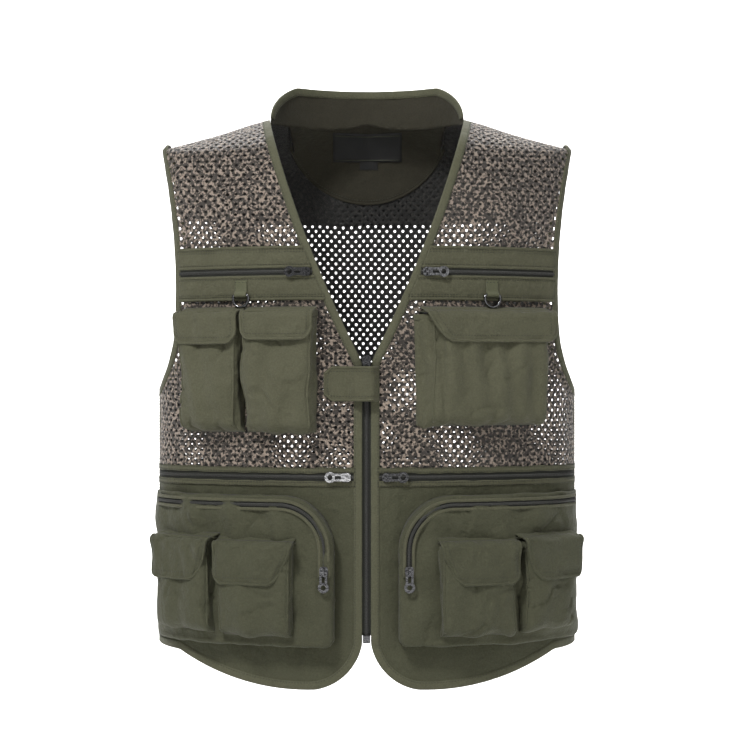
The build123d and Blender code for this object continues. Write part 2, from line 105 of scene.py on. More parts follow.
def normalAt(p):
    x, y, z = p[..., 0], p[..., 1], p[..., 2]
    sy = np.where(y < 0, -1.0, 1.0)
    sx = np.where(x < 0, -1.0, 1.0)
    inFront = np.abs(x) <= np.abs(y + sy * frontY) * math.tan(joinAngle)
    cx = np.where(inFront, 0, sx * sideX)
    cy = np.where(inFront, -sy * frontY, 0)
    oval = np.stack([x - cx, y - cy, np.zeros_like(x)], -1)
    lengthOval = np.linalg.norm(oval, axis=-1)
    dOval = lengthOval - np.where(inFront, frontRadius, body["sideRadius"])
    v = (z - ridge(x)) * math.cos(slope)
    rise = np.maximum(v + body["archRadius"], 0)
    up = np.stack([sx * math.sin(slope), np.zeros_like(x), np.full_like(x, math.cos(slope))], -1)
    arch = up * rise[..., None] + np.stack([np.zeros_like(x), y, np.zeros_like(x)], -1)
    lengthArch = np.linalg.norm(arch, axis=-1)
    dArch = lengthArch - body["archRadius"]
    oval /= np.maximum(lengthOval, 1e-6)[..., None]
    arch /= np.maximum(lengthArch, 1e-6)[..., None]
    w = 1 / (1 + np.exp(np.clip((dArch - dOval) / 9.0, -30, 30)))
    n = oval * w[..., None] + arch * (1 - w)[..., None]
    return n / np.linalg.norm(n, axis=-1, keepdims=True)


def onBody(x, z, side=-1, d=0.0):
    # side is -1 on the front and 1 on the back; d is the distance out
    x, z = np.broadcast_arrays(np.asarray(x, float), np.asarray(z, float))
    p = np.stack([x, side * depthAt(x, z), z], -1)
    return p + normalAt(p) * np.asarray(d, float)[..., None]


# a table of lengths up the surface, one column for each x
columns, steps, fromZ = 75, 90, -200.0
columnX = np.linspace(0, body["halfWidth"], columns)
stepT = np.linspace(1, 0, steps)
columnZ = ridge(columnX)[:, None] - 0.02 - (ridge(columnX)[:, None] - 0.02 - fromZ) * stepT[None, :] ** 2
columnY = depthAt(columnX[:, None] + 0 * columnZ, columnZ)
columnS = np.concatenate([np.zeros((columns, 1)), np.cumsum(np.hypot(
    np.diff(columnY, axis=1), np.diff(columnZ, axis=1)), axis=1)], axis=1) + fromZ


def zOfLength(x, s):
    f = np.clip(np.abs(x) / body["halfWidth"] * (columns - 1), 0, columns - 1.001)
    i = f.astype(int)
    w = (f - i)[:, None]
    lengths = columnS[i] * (1 - w) + columnS[i + 1] * w
    heights = columnZ[i] * (1 - w) + columnZ[i + 1] * w
    j = np.clip((lengths < s[:, None]).sum(1), 1, steps - 1)
    rows = np.arange(len(s))
    a, b = lengths[rows, j - 1], lengths[rows, j]
    t = np.clip((s - a) / np.maximum(b - a, 1e-9), 0, 1)
    high = heights[rows, j - 1] * (1 - t) + heights[rows, j] * t
    return np.where(s <= fromZ, s, high)


def fromCloth(q, s):
    # q runs round the torso and s up it, both along the cloth
    z = np.minimum(s, -1.0)
    x = xLow(q)
    for _ in range(3):
        w = smooth((z + 260) / 200)
        x = xLow(q) * (1 - w) + np.clip(q, -body["halfWidth"], body["halfWidth"]) * w
        z = zOfLength(x, s)
    return x, z


def arc3(a, b, c, n=24):
    ax, ay, bx, by, cx, cy = *a, *b, *c
    m = np.array([[bx - ax, by - ay], [cx - bx, cy - by]]) * 2
    r = np.array([bx ** 2 - ax ** 2 + by ** 2 - ay ** 2, cx ** 2 - bx ** 2 + cy ** 2 - by ** 2])
    ox, oy = np.linalg.solve(m, r)
    radius = math.hypot(ax - ox, ay - oy)
    t0, t1, t2 = (math.atan2(p[1] - oy, p[0] - ox) for p in (a, b, c))
    full = 2 * math.pi
    sweep = (t2 - t0) % full
    if (t1 - t0) % full > sweep:
        sweep -= full
    t = t0 + np.linspace(0, 1, n) * sweep
    return np.stack([ox + radius * np.cos(t), oy + radius * np.sin(t)], 1)


def even(points, step, closed=False):
    p = np.asarray(points, float)
    if closed:
        p = np.vstack([p, p[:1]])
    keep = np.concatenate([[True], np.linalg.norm(np.diff(p, axis=0), axis=1) > 1e-6])
    p = p[keep]
    length = np.concatenate([[0], np.cumsum(np.linalg.norm(np.diff(p, axis=0), axis=1))])
    count = max(2, int(round(length[-1] / step)) + 1)
    t = np.linspace(0, length[-1], count)
    out = np.stack([np.interp(t, length, p[:, k]) for k in range(p.shape[1])], 1)
    return out[:-1] if closed else out


# outlines in the front view, wearer's left side
edgeSize = {
    "neckTop": 2.0, "vMiddle": (54.5, -150.0), "vFoot": 7.4, "centreTop": -262.0,
    "underarmX": 228.0, "armCurve": (206.5, -252.0), "armInner": (201.5, -222.0), "armMiddle": (202.0, -138.0),
    "hemRound": (19.0, -577.0), "hemLowX": 52.0, "hemMiddle": (124.0, -589.0), "hemSideX": 196.0,
    "seamFoot": -558.0, "pastSide": 250.0, "aboveAll": 90.0,
}
tipX, tipZ = body["tipX"], -body["drop"]
centreX, pastSide, aboveAll = body["centreX"], edgeSize["pastSide"], edgeSize["aboveAll"]
hemLow = (edgeSize["hemLowX"], body["hemLow"])
vEdge = arc3((body["neckX"], edgeSize["neckTop"]), edgeSize["vMiddle"], (edgeSize["vFoot"], body["vLow"]), 60)
armEdge = np.vstack([
    arc3((edgeSize["underarmX"], body["underarm"]), edgeSize["armCurve"], edgeSize["armInner"], 40),
    arc3(edgeSize["armInner"], edgeSize["armMiddle"], (tipX, tipZ), 60)[1:]])
centreEdge = np.array([(centreX, edgeSize["centreTop"]), (centreX, body["hemInner"])])
hemEdge = np.vstack([
    arc3((centreX, body["hemInner"]), edgeSize["hemRound"], hemLow, 20),
    arc3(hemLow, edgeSize["hemMiddle"], (edgeSize["hemSideX"], body["hemSide"]), 40)[1:]])
frontLoop = np.vstack([
    vEdge, centreEdge, hemEdge, [(pastSide, edgeSize["seamFoot"]), (pastSide, body["underarm"])], armEdge,
    [(tipX, aboveAll), (body["neckX"], aboveAll)]])
backLoop = np.vstack([
    [(0, body["backHem"]), (pastSide, body["backHem"]), (pastSide, body["underarm"])], armEdge,
    [(tipX, aboveAll), (0, aboveAll)]])
backLoop = np.vstack([backLoop, backLoop[::-1] * [-1, 1]])


def inside(points, loop):
    x, y = points[:, 0], points[:, 1]
    hit = np.zeros(len(points), bool)
    for (x0, y0), (x1, y1) in zip(loop, np.roll(loop, -1, axis=0)):
        if abs(y1 - y0) < 1e-9:
            continue
        cross = (y0 > y) != (y1 > y)
        hit ^= cross & (x < (x1 - x0) * (y - y0) / (y1 - y0) + x0)
    return hit


def nearestOn(points, loop):
    a, b = loop, np.roll(loop, -1, axis=0)
    best, where = np.full(len(points), 1e9), points.copy()
    for p, r in zip(a, b):
        e = r - p
        size = e @ e
        if size < 1e-12:
            continue
        t = np.clip(((points - p) @ e) / size, 0, 1)
        c = p + t[:, None] * e
        d = np.linalg.norm(points - c, axis=1)
        closer = d < best
        best[closer], where[closer] = d[closer], c[closer]
    return where, best


def ripple(u, v, size, seed, turns=9):
    # a seeded sum of waves, about -1 to 1
    draw = np.random.default_rng(seed)
    total = 0
    for _ in range(turns):
        angle, phase = draw.uniform(0, math.pi), draw.uniform(0, 2 * math.pi)
        k = 2 * math.pi / (size * draw.uniform(0.6, 1.7))
        total = total + np.sin((u * math.cos(angle) + v * math.sin(angle)) * k + phase)
    return total / math.sqrt(turns)


# mesh helpers
class Part:
    def __init__(self):
        self.verts, self.faces, self.uvs, self.slots, self.count = [], [], [], [], 0

    def add(self, verts, faces, uv=None, slot=0):
        verts = np.asarray(verts, float).reshape(-1, 3)
        uv = np.zeros((len(verts), 2)) if uv is None else np.asarray(uv, float).reshape(-1, 2)
        self.verts.append(verts)
        self.uvs.append(uv)
        self.faces += [tuple(int(i) + self.count for i in f) for f in faces]
        self.slots += [slot] * len(faces)
        self.count += len(verts)
        return self

    def build(self, name, materials, thick=0.0, level=0, recalc=True):
        mesh = bpy.data.meshes.new(name)
        mesh.from_pydata((np.vstack(self.verts) * 0.001).tolist(), [], self.faces)
        uv = np.vstack(self.uvs) * 0.001
        layer = mesh.uv_layers.new(name="UVMap")
        loops = np.zeros(len(mesh.loops), np.int32)
        mesh.loops.foreach_get("vertex_index", loops)
        layer.data.foreach_set("uv", uv[loops].astype(np.float32).ravel())
        for m in materials:
            mesh.materials.append(m)
        mesh.polygons.foreach_set("material_index", np.array(self.slots, np.int32))
        mesh.polygons.foreach_set("use_smooth", np.ones(len(mesh.polygons), bool))
        obj = bpy.data.objects.new(name, mesh)
        scene.collection.objects.link(obj)
        if recalc:
            bm = bmesh.new()
            bm.from_mesh(mesh)
            bmesh.ops.recalc_face_normals(bm, faces=bm.faces)
            bm.to_mesh(mesh)
            bm.free()
        if thick:
            solid = obj.modifiers.new("thickness", "SOLIDIFY")
            solid.thickness, solid.offset, solid.use_rim = thick * 0.001, 0, True
        if level:
            sub = obj.modifiers.new("smooth", "SUBSURF")
            sub.levels = sub.render_levels = level
        return obj


def grid(rows, cols, wrapCols=False, wrapRows=False):
    out = []
    for r in range(rows if wrapRows else rows - 1):
        for c in range(cols if wrapCols else cols - 1):
            a, b = r * cols + c, r * cols + (c + 1) % cols
            n = ((r + 1) % rows) * cols
            out.append((a, b, n + (c + 1) % cols, n + c))
    return out


def sweepStrip(part, points, normals, section, closed=False, turn=1, slot=0):
    points, normals = np.asarray(points), np.asarray(normals)
    if closed:
        tangent = np.roll(points, -1, 0) - np.roll(points, 1, 0)
    else:
        tangent = np.gradient(points, axis=0)
    tangent /= np.maximum(np.linalg.norm(tangent, axis=1, keepdims=True), 1e-9)
    across = np.cross(normals, tangent) * turn
    across /= np.maximum(np.linalg.norm(across, axis=1, keepdims=True), 1e-9)
    section = np.asarray(section, float)
    verts = (points[:, None] + across[:, None] * section[None, :, :1]
             + normals[:, None] * section[None, :, 1:])
    n, m = verts.shape[:2]
    step = np.linalg.norm(np.diff(points, axis=0), axis=1)
    length = np.concatenate([[0], np.cumsum(step)])
    around = np.concatenate([[0], np.cumsum(np.linalg.norm(np.diff(section, axis=0), axis=1))])
    uv = np.stack(np.broadcast_arrays(length[:, None], around[None, :]), -1)
    faces = grid(n, m, wrapCols=True, wrapRows=closed)
    if not closed:
        faces += [tuple(range(m))[::-1], tuple((n - 1) * m + k for k in range(m))]
    part.add(verts, faces, uv, slot)
    return points, normals, across


def roundStrip(b0, b1, n0, n1, corner=0.9):
    pts = []
    for cx, cy, start in ((b1 - corner, n1 - corner, 0), (b0 + corner, n1 - corner, 90),
                          (b0 + corner, n0 + corner, 180), (b1 - corner, n0 + corner, 270)):
        for k in (0, 45, 90):
            t = math.radians(start + k)
            pts.append((cx + corner * math.cos(t), cy + corner * math.sin(t)))
    return pts


def finishPiece(obj, bodyName, slot, *replaced):
    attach(obj, bodyName)
    if replaced:
        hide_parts(*replaced)
    return obj


# materials
class Val:
    def __init__(self, maker, socket):
        self.maker, self.socket = maker, socket

    def maths(self, operation, a, b):
        return self.maker.node("ShaderNodeMath", {"operation": operation}, {0: a, 1: b})

    def __add__(self, o): return self.maths("ADD", self, o)
    def __radd__(self, o): return self.maths("ADD", o, self)
    def __sub__(self, o): return self.maths("SUBTRACT", self, o)
    def __rsub__(self, o): return self.maths("SUBTRACT", o, self)
    def __mul__(self, o): return self.maths("MULTIPLY", self, o)
    def __rmul__(self, o): return self.maths("MULTIPLY", o, self)


class Maker:
    def __init__(self, name):
        self.material = bpy.data.materials.new(name)
        self.material.use_nodes = True
        self.tree = self.material.node_tree
        self.shader = self.tree.nodes["Principled BSDF"]

    def node(self, kind, settings=None, inputs=None, output=0):
        made = self.tree.nodes.new(kind)
        for key, value in (settings or {}).items():
            if key == "stops":
                ramp = made.color_ramp.elements
                while len(ramp) < len(value):
                    ramp.new(0.5)
                for stop, (place, colour) in zip(ramp, value):
                    stop.position, stop.color = place, colour
            else:
                setattr(made, key, value)
        for key, value in (inputs or {}).items():
            self.put(made.inputs[key], value)
        return Val(self, made.outputs[output])

    def put(self, socket, value):
        if isinstance(value, Val):
            self.tree.links.new(value.socket, socket)
        else:
            socket.default_value = value

    def mix(self, factor, a, b, blend="MIX"):
        made = self.tree.nodes.new("ShaderNodeMix")
        made.data_type, made.blend_type = "RGBA", blend
        self.put(made.inputs[0], factor)
        self.put(made.inputs[6], a)
        self.put(made.inputs[7], b)
        return Val(self, made.outputs[2])

    def noise(self, vector, scale, detail=3.0, rough=0.55):
        return self.node("ShaderNodeTexNoise", {}, {"Vector": vector, "Scale": scale,
                                                    "Detail": detail, "Roughness": rough})

    def finish(self, **sockets):
        for name, value in sockets.items():
            self.put(self.shader.inputs[name.replace("_", " ")], value)
        return self.material


def tone(colour, factor):
    return tuple(min(1.0, c * factor) for c in colour[:3]) + (1.0,)


clothLook = {name: dict(zip(("colour", "weave", "crinkle", "rough", "sheen"), values)) for name, values in {
    "olive": ((0.078, 0.077, 0.046), 2100.0, 0.75, 0.84, 0.07),
    "oliveDark": ((0.058, 0.059, 0.034), 2100.0, 0.75, 0.86, 0.06),
    "lining": ((0.029, 0.026, 0.016), 2300.0, 0.4, 0.84, 0.05),
    "binding": ((0.080, 0.080, 0.048), 1500.0, 0.4, 0.85, 0.08),
    "webbing": ((0.085, 0.088, 0.050), 1100.0, 0.2, 0.8, 0.08),
}.items()}


def clothMaterial(name):
    look, m = clothLook[name], Maker(name)
    warpRate, weftRate = look["weave"] * 3.1, look["weave"] * 2.9
    place = m.node("ShaderNodeTexCoord", {}, {}, 3)
    uv = m.node("ShaderNodeUVMap", {"uv_map": "UVMap"})
    split = m.tree.nodes.new("ShaderNodeSeparateXYZ")
    m.tree.links.new(uv.socket, split.inputs[0])
    warp = m.node("ShaderNodeMath", {"operation": "SINE"}, {0: Val(m, split.outputs[0]) * warpRate})
    weft = m.node("ShaderNodeMath", {"operation": "SINE"}, {0: Val(m, split.outputs[1]) * weftRate})
    weave = warp * weft * 0.5 + 0.5
    heather = m.noise(place, 620.0, 3.0)  # uneven dye in the yarn
    cloud = m.noise(place, 26.0, 4.0)
    crease = m.noise(place, 75.0, 5.0, 0.6)
    base = m.mix(heather, tone(look["colour"], 0.45), tone(look["colour"], 1.5))
    base = m.mix(cloud * 0.6, base, tone(look["colour"], 0.62))
    base = m.mix(weave * 0.25, base, tone(look["colour"], 1.6))
    height = crease * look["crinkle"] + cloud * 0.8 + weave * 0.05 + heather * 0.05
    bump = m.node("ShaderNodeBump", {}, {"Height": height, "Strength": 0.9, "Distance": 0.0045})
    m.finish(Base_Color=base, Roughness=look["rough"] - crease * 0.08, Normal=bump,
             Sheen_Weight=look["sheen"], Sheen_Roughness=0.45, Specular_IOR_Level=0.28)
    return m.material


def netMaterial(name, colour, bright, shine):
    m = Maker(name)
    place = m.node("ShaderNodeTexCoord", {}, {}, 3)
    yarn = m.node("ShaderNodeTexWave", {"wave_type": "BANDS", "bands_direction": "DIAGONAL"},
                  {"Vector": place, "Scale": 420.0, "Distortion": 5.0, "Detail": 2.0, "Detail Scale": 3.0})
    yarn = Val(m, yarn.socket.node.outputs["Fac"])
    fleck = m.noise(place, 330.0, 3.0)
    cloud = m.noise(place, 22.0, 3.0)
    base = m.mix(yarn * 0.7, tone(colour, 0.22), tone(colour, 1.1))
    # painted highlights: where the fleck noise passes its threshold, the yarn colour is lifted up to six times, as
    # painted glints of light on the shiny yarn; bright sets how strong these painted highlights are
    stops = [(0.50, (0, 0, 0, 1)), (0.58, (1, 1, 1, 1))]
    paintedGlintMask = m.node("ShaderNodeValToRGB", {"stops": stops}, {0: fleck})
    base = m.mix(paintedGlintMask * bright, base, tone(colour, 6.0))
    base = m.mix(cloud * 0.6, base, tone(colour, 0.35))
    height = yarn * 0.6 + fleck * 0.5
    bump = m.node("ShaderNodeBump", {}, {"Height": height, "Strength": 1.0, "Distance": 0.0020})
    m.finish(Base_Color=base, Roughness=0.62 - fleck * shine, Normal=bump, Sheen_Weight=0.1,
             Sheen_Roughness=0.4, Specular_IOR_Level=0.45)
    return m.material


def plainMaterial(name, colour, rough, metal=0.0, grain=500.0, depth=0.0003, wear=0.25, spec=0.5):
    m = Maker(name)
    place = m.node("ShaderNodeTexCoord", {}, {}, 3)
    fine = m.noise(place, grain, 4.0)
    broad = m.noise(place, 60.0, 3.0)
    base = m.mix(fine, tone(colour, 1 - wear), tone(colour, 1 + wear))
    base = m.mix(broad * 0.4, base, tone(colour, 0.8))
    bump = m.node("ShaderNodeBump", {}, {"Height": fine, "Strength": 0.5, "Distance": depth})
    m.finish(Base_Color=base, Metallic=metal, Roughness=fine * 0.16 + (rough - 0.08), Normal=bump,
             Specular_IOR_Level=spec)
    return m.material


cloths = {name: clothMaterial(name) for name in clothLook}
frontNetLook = netMaterial("frontNet", (0.110, 0.088, 0.070), 0.95, 0.25)
# painted shade: the back net and the yoke net are the same mesh as the front net, but their colour is painted near
# black for the shade on the vest's inner side, and their painted glints are weaker
backNetShadeLook = netMaterial("backNet", (0.016, 0.015, 0.012), 0.35, 0.12)
tapeLook = plainMaterial("zipTape", (0.020, 0.021, 0.017), 0.85,
                         grain=900.0, depth=0.0005, wear=0.4, spec=0.25)
coilLook = plainMaterial("zipCoil", (0.032, 0.032, 0.029), 0.42, grain=700.0, depth=0.0002, spec=0.45)
threadLook = plainMaterial("thread", (0.030, 0.031, 0.019), 0.6, grain=1500.0, depth=0.0002, spec=0.4)
pileLook = plainMaterial("loopPile", (0.030, 0.032, 0.020), 0.95,
                         grain=1100.0, depth=0.0012, wear=0.5, spec=0.2)
labelLook = plainMaterial("labelWeave", (0.006, 0.006, 0.006), 0.6, grain=1300.0, depth=0.0003, wear=0.5)
gunLook = plainMaterial("gunMetal", (0.15, 0.15, 0.155), 0.20, 1.0, 300.0, 0.0011, 0.12)
nickelLook = plainMaterial("nickel", (0.80, 0.80, 0.81), 0.16, 1.0, 300.0, 0.0009, 0.08)
print("materials made", len(bpy.data.materials))


# node trees for what repeats
def treeStart(name, numbers):
    tree = bpy.data.node_groups.new(name, "GeometryNodeTree")
    face = tree.interface
    face.new_socket("Geometry", in_out="INPUT", socket_type="NodeSocketGeometry")
    for key, value in numbers.items():
        face.new_socket(key, in_out="INPUT", socket_type="NodeSocketFloat").default_value = value
    face.new_socket("Material", in_out="INPUT", socket_type="NodeSocketMaterial")
    face.new_socket("Geometry", in_out="OUTPUT", socket_type="NodeSocketGeometry")
    start = tree.nodes.new("NodeGroupInput")
    end = tree.nodes.new("NodeGroupOutput")

    def add(kind, settings=None, inputs=None, output=0):
        made = tree.nodes.new(kind)
        for key, value in (settings or {}).items():
            setattr(made, key, value)
        for key, value in (inputs or {}).items():
            socket = made.inputs[key]
            if hasattr(value, "is_linked"):
                tree.links.new(value, socket)
            else:
                socket.default_value = value
        return made.outputs[output]

    return tree, start, end, add


def alongTree(name, size):
    # beads along a path, each with its top turned outwards
    tree, start, end, add = treeStart(name, size)
    given = start.outputs
    curve = add("GeometryNodeMeshToCurve", {}, {0: given["Geometry"]})
    spread = add("GeometryNodeResampleCurve", {"mode": "LENGTH"}, {"Curve": curve, "Length": given["Spacing"]})
    bead = add("GeometryNodeMeshIcoSphere", {}, {"Radius": 1.0, "Subdivisions": 1})
    size = add("ShaderNodeCombineXYZ", {}, {
        0: given["Half length"], 1: given["Half width"], 2: given["Half height"]})
    bead = add("GeometryNodeTransform", {}, {"Geometry": bead, "Scale": size})
    tangent = add("GeometryNodeInputTangent")
    out = add("GeometryNodeInputNamedAttribute", {"data_type": "FLOAT_VECTOR"}, {"Name": "outwards"})
    first = add("FunctionNodeAlignRotationToVector", {"axis": "X"}, {"Vector": tangent})
    second = add("FunctionNodeAlignRotationToVector", {"axis": "Z", "pivot_axis": "X"},
                 {"Rotation": first, "Vector": out})
    placed = add("GeometryNodeInstanceOnPoints", {}, {
        "Points": spread, "Instance": bead, "Rotation": second})
    real = add("GeometryNodeRealizeInstances", {}, {0: placed})
    shade = add("GeometryNodeSetShadeSmooth", {}, {0: real})
    done = add("GeometryNodeSetMaterial", {}, {"Geometry": shade, "Material": given["Material"]})
    tree.links.new(done, end.inputs[0])
    return tree


def netTree(name, detail):
    # hexagonal cells in staggered rows, each with an oval hole; detail is how often a cell's edge is divided
    tree, start, end, add = treeStart(name, {
        "Columns": 10.0, "Rows": 10.0, "Pitch": 0.01, "Row pitch": 0.0056,
        "Hole width": 0.0046, "Hole height": 0.0054})
    g = start.outputs
    sixth = math.pi / 6

    def maths(operation, a, b=0.0):
        return add("ShaderNodeMath", {"operation": operation}, {0: a, 1: b})

    def times(a, b):
        return maths("MULTIPLY", a, b)

    def position():
        split = tree.nodes.new("ShaderNodeSeparateXYZ")
        tree.links.new(add("GeometryNodeInputPosition"), split.inputs[0])
        return split.outputs

    width, height = times(g["Columns"], g["Pitch"]), times(g["Rows"], g["Row pitch"])
    whole = [maths("ROUND", maths("ADD", g[key], 1.0)) for key in ("Columns", "Rows")]
    points = add("GeometryNodeMeshGrid", {}, {
        "Size X": width, "Size Y": height, "Vertices X": whole[0], "Vertices Y": whole[1]})
    row = maths("ROUND", maths("DIVIDE", maths("ADD", position()[1], times(height, 0.5)), g["Row pitch"]))
    odd = maths("MODULO", row, 2.0)
    shift = add("ShaderNodeCombineXYZ", {}, {0: times(odd, times(g["Pitch"], 0.5))})
    points = add("GeometryNodeSetPosition", {}, {"Geometry": points, "Offset": shift})
    ring = add("GeometryNodeMeshCircle", {"fill_type": "NONE"}, {"Vertices": 6, "Radius": 1.0})
    ring = add("GeometryNodeTransform", {}, {"Geometry": ring, "Rotation": (0, 0, sixth)})
    at = position()
    cellX = times(at[0], times(g["Pitch"], 0.5 / math.cos(sixth)))
    cubed = times(maths("POWER", maths("ABSOLUTE", at[1]), 3.0), maths("SIGN", at[1]))
    cellY = times(cubed, times(g["Row pitch"], 8 / 9))
    ring = add("GeometryNodeSetPosition", {}, {
        "Geometry": ring, "Position": add("ShaderNodeCombineXYZ", {}, {0: cellX, 1: cellY})})
    if detail:
        ring = add("GeometryNodeSubdivideMesh", {}, {"Mesh": ring, "Level": detail})
    grown = tree.nodes.new("GeometryNodeExtrudeMesh")
    grown.mode = "EDGES"
    tree.links.new(ring, grown.inputs["Mesh"])
    grown.inputs["Offset Scale"].default_value = 0.0
    here = position()
    angle = maths("ARCTAN2", maths("DIVIDE", here[1], g["Row pitch"]),
                  maths("DIVIDE", here[0], times(g["Pitch"], 0.5)))
    hole = add("ShaderNodeCombineXYZ", {}, {
        0: times(maths("COSINE", angle), times(g["Hole width"], 0.5)),
        1: times(maths("SINE", angle), times(g["Hole height"], 0.5))})
    cell = add("GeometryNodeSetPosition", {}, {
        "Geometry": grown.outputs["Mesh"], "Selection": grown.outputs["Top"], "Position": hole})
    placed = add("GeometryNodeInstanceOnPoints", {}, {"Points": points, "Instance": cell})
    real = add("GeometryNodeRealizeInstances", {}, {0: placed})
    joined = add("GeometryNodeMergeByDistance", {}, {"Geometry": real, "Distance": 0.0001})
    shade = add("GeometryNodeSetShadeSmooth", {}, {0: joined})
    done = add("GeometryNodeSetMaterial", {}, {"Geometry": shade, "Material": g["Material"]})
    tree.links.new(done, end.inputs[0])
    return tree


def runTree(tree, source, values, name):
    mod = source.modifiers.new("nodes", "NODES")
    mod.node_group = tree
    ids = {item.name: item.identifier for item in tree.interface.items_tree if item.in_out == "INPUT"}
    for key, value in values.items():
        mod[ids[key]] = value
    bpy.context.view_layer.update()
    result = source.evaluated_get(bpy.context.evaluated_depsgraph_get())
    mesh = bpy.data.meshes.new_from_object(result)
    source.modifiers.remove(mod)
    bpy.data.objects.remove(source)
    made = bpy.data.objects.new(name, mesh)
    mesh.name = name
    scene.collection.objects.link(made)
    return made


stitchSize = {"Spacing": 0.0031, "Half length": 0.00105, "Half width": 0.00042, "Half height": 0.0003}
coilSize = {"Spacing": 0.00135, "Half length": 0.00056, "Half width": 0.0018, "Half height": 0.00062}
stitchTree, coilTree = alongTree("stitches", stitchSize), alongTree("coil", coilSize)
sewing, teeth = {}, {}  # body name to the paths of its stitches and zip teeth


def guide(paths, name):
    mesh = bpy.data.meshes.new(name)
    verts = np.vstack([p for p, _, _ in paths]) * 0.001
    edges, start = [], 0
    for p, _, closed in paths:
        edges += [(start + i, start + i + 1) for i in range(len(p) - 1)]
        if closed:
            edges.append((start + len(p) - 1, start))
        start += len(p)
    mesh.from_pydata(verts.tolist(), edges, [])
    out = mesh.attributes.new("outwards", "FLOAT_VECTOR", "POINT")
    out.data.foreach_set("vector", np.vstack([n for _, n, _ in paths]).astype(np.float32).ravel())
    obj = bpy.data.objects.new(name, mesh)
    scene.collection.objects.link(obj)
    return obj


def sew(bodyName, points, normals, lift=0.0, closed=False, book=sewing):
    n = np.asarray(normals)
    book.setdefault(bodyName, []).append((np.asarray(points) + n * lift, n, closed))


# net panels
netSize = {"pitch": 9.0, "row": 5.3, "holeWide": 3.8, "holeHigh": 4.3, "backHole": 0.74, "thick": 0.95,
           "middle": 0.6, "uneven": 0.7, "top": 70.0}
frontNetTree, backNetTree = netTree("frontNetTree", 0), netTree("backNetTree", 1)


def makeNet(name, tree, side, sign, loop, qRange, sRange, sagging, material, offset=netSize["middle"],
            ceiling=None, level=1):
    # a net laid on the cloth, cut to the loop, and hung on the torso; ceiling caps its height
    pitch, row = netSize["pitch"], netSize["row"]
    hole = 1.0 if side < 0 else netSize["backHole"]
    columns = math.ceil((qRange[1] - qRange[0]) / pitch)
    rows = math.ceil((sRange[1] - sRange[0]) / row)
    seed = bpy.data.objects.new(name + "Seed", bpy.data.meshes.new(name + "Seed"))
    scene.collection.objects.link(seed)
    flat = runTree(tree, seed, {
        "Columns": float(columns), "Rows": float(rows), "Pitch": pitch / 1000, "Row pitch": row / 1000,
        "Hole width": netSize["holeWide"] * hole / 1000, "Hole height": netSize["holeHigh"] * hole / 1000,
        "Material": material}, name)
    mesh = flat.data
    co = np.zeros(len(mesh.vertices) * 3)
    mesh.vertices.foreach_get("co", co)
    co = co.reshape(-1, 3) * 1000
    q = co[:, 0] + (qRange[0] + qRange[1]) / 2
    s = co[:, 1] + (sRange[0] + sRange[1]) / 2
    q += ripple(q, s, 70, 3) * netSize["uneven"]
    s += ripple(q, s, 60, 4) * netSize["uneven"]
    x, z = fromCloth(q, s)
    flatXZ = np.stack([x, z], 1)
    within = inside(flatXZ, loop)
    edge, gap = nearestOn(flatXZ, loop)
    faces = [tuple(p.vertices) for p in mesh.polygons]
    limit = seamQ if abs(qRange[1]) > 200 else 1e9
    high = ceiling(x) if ceiling is not None else ridge(x) + 1
    top = zOfLength(x, s + 6) if ceiling is None else z
    good = within & (gap > 0.4) & (np.abs(q) < limit + 4) & (z < high)
    if ceiling is None:
        good &= (np.abs(z - ridge(x)) > 0.05) | (np.abs(top - z) > 1e-6)
    kept = [f for f in faces if sum(good[list(f)]) >= 2]
    used = np.unique(np.concatenate([np.array(f) for f in kept]))
    renumber = -np.ones(len(q), int)
    renumber[used] = np.arange(len(used))
    flatXZ[~within] = edge[~within]
    x, z = flatXZ[:, 0], np.minimum(flatXZ[:, 1], high if ceiling is not None else ridge(flatXZ[:, 0]) - 0.02)
    x = np.clip(x, -body["halfWidth"] + 0.01, body["halfWidth"] - 0.01)
    sag = ripple(q, s, 120, 11) * sagging
    p = onBody(x, z, side, offset + sag * np.clip(gap / 25, 0, 1))
    p[:, 0] *= sign
    part = Part().add(p[used], [tuple(renumber[list(f)]) for f in kept], np.stack([q, s], 1)[used])
    bpy.data.objects.remove(flat)
    return part.build(name, [material], netSize["thick"], level)


def neckLimit(x, extra=0.0):
    # the height at which the torso meets the round of the collar
    heights = np.linspace(-150, 28, 260)
    xs = np.linspace(0, 112, 60)
    r = body["collarRadius"] + extra
    found = []
    for v in xs:
        circle = body["collarY"] + math.sqrt(max(r ** 2 - v ** 2, 0))
        ok = depthAt(np.full(len(heights), v), heights) > circle
        ok &= heights < ridge(v)
        found.append(heights[ok][-1] if ok.any() and v < r else ridge(v))
    return np.minimum(np.interp(np.abs(x), xs, found), ridge(x) - 0.02)


frontNetLoop = frontLoop.copy()
frontNetLoop[:, 1] = np.maximum(frontNetLoop[:, 1], body["waistTop"] + 0.3)
for word, sign in (("Left", 1), ("Right", -1)):
    net = makeNet("net" + word, frontNetTree, -1, sign, frontNetLoop, (0, 280),
                  (body["waistTop"] - 6, netSize["top"]), 1.2, frontNetLook)
    finishPiece(net, "vest", "net", "front_net_" + word.lower())
backNetLoop = backLoop.copy()
backNetLoop[backNetLoop[:, 1] < body["waistLow"], 1] = body["waistLow"]
# the back net's near-black colour is painted shade
backNet = makeNet("netBack", backNetTree, 1, 1, backNetLoop, (-280, 280),
                  (body["waistLow"], netSize["top"]), 1.0, backNetShadeLook, ceiling=neckLimit, level=0)
finishPiece(backNet, "vest", "back_net", "back_net")
print("net panels made", len(backNet.data.polygons))


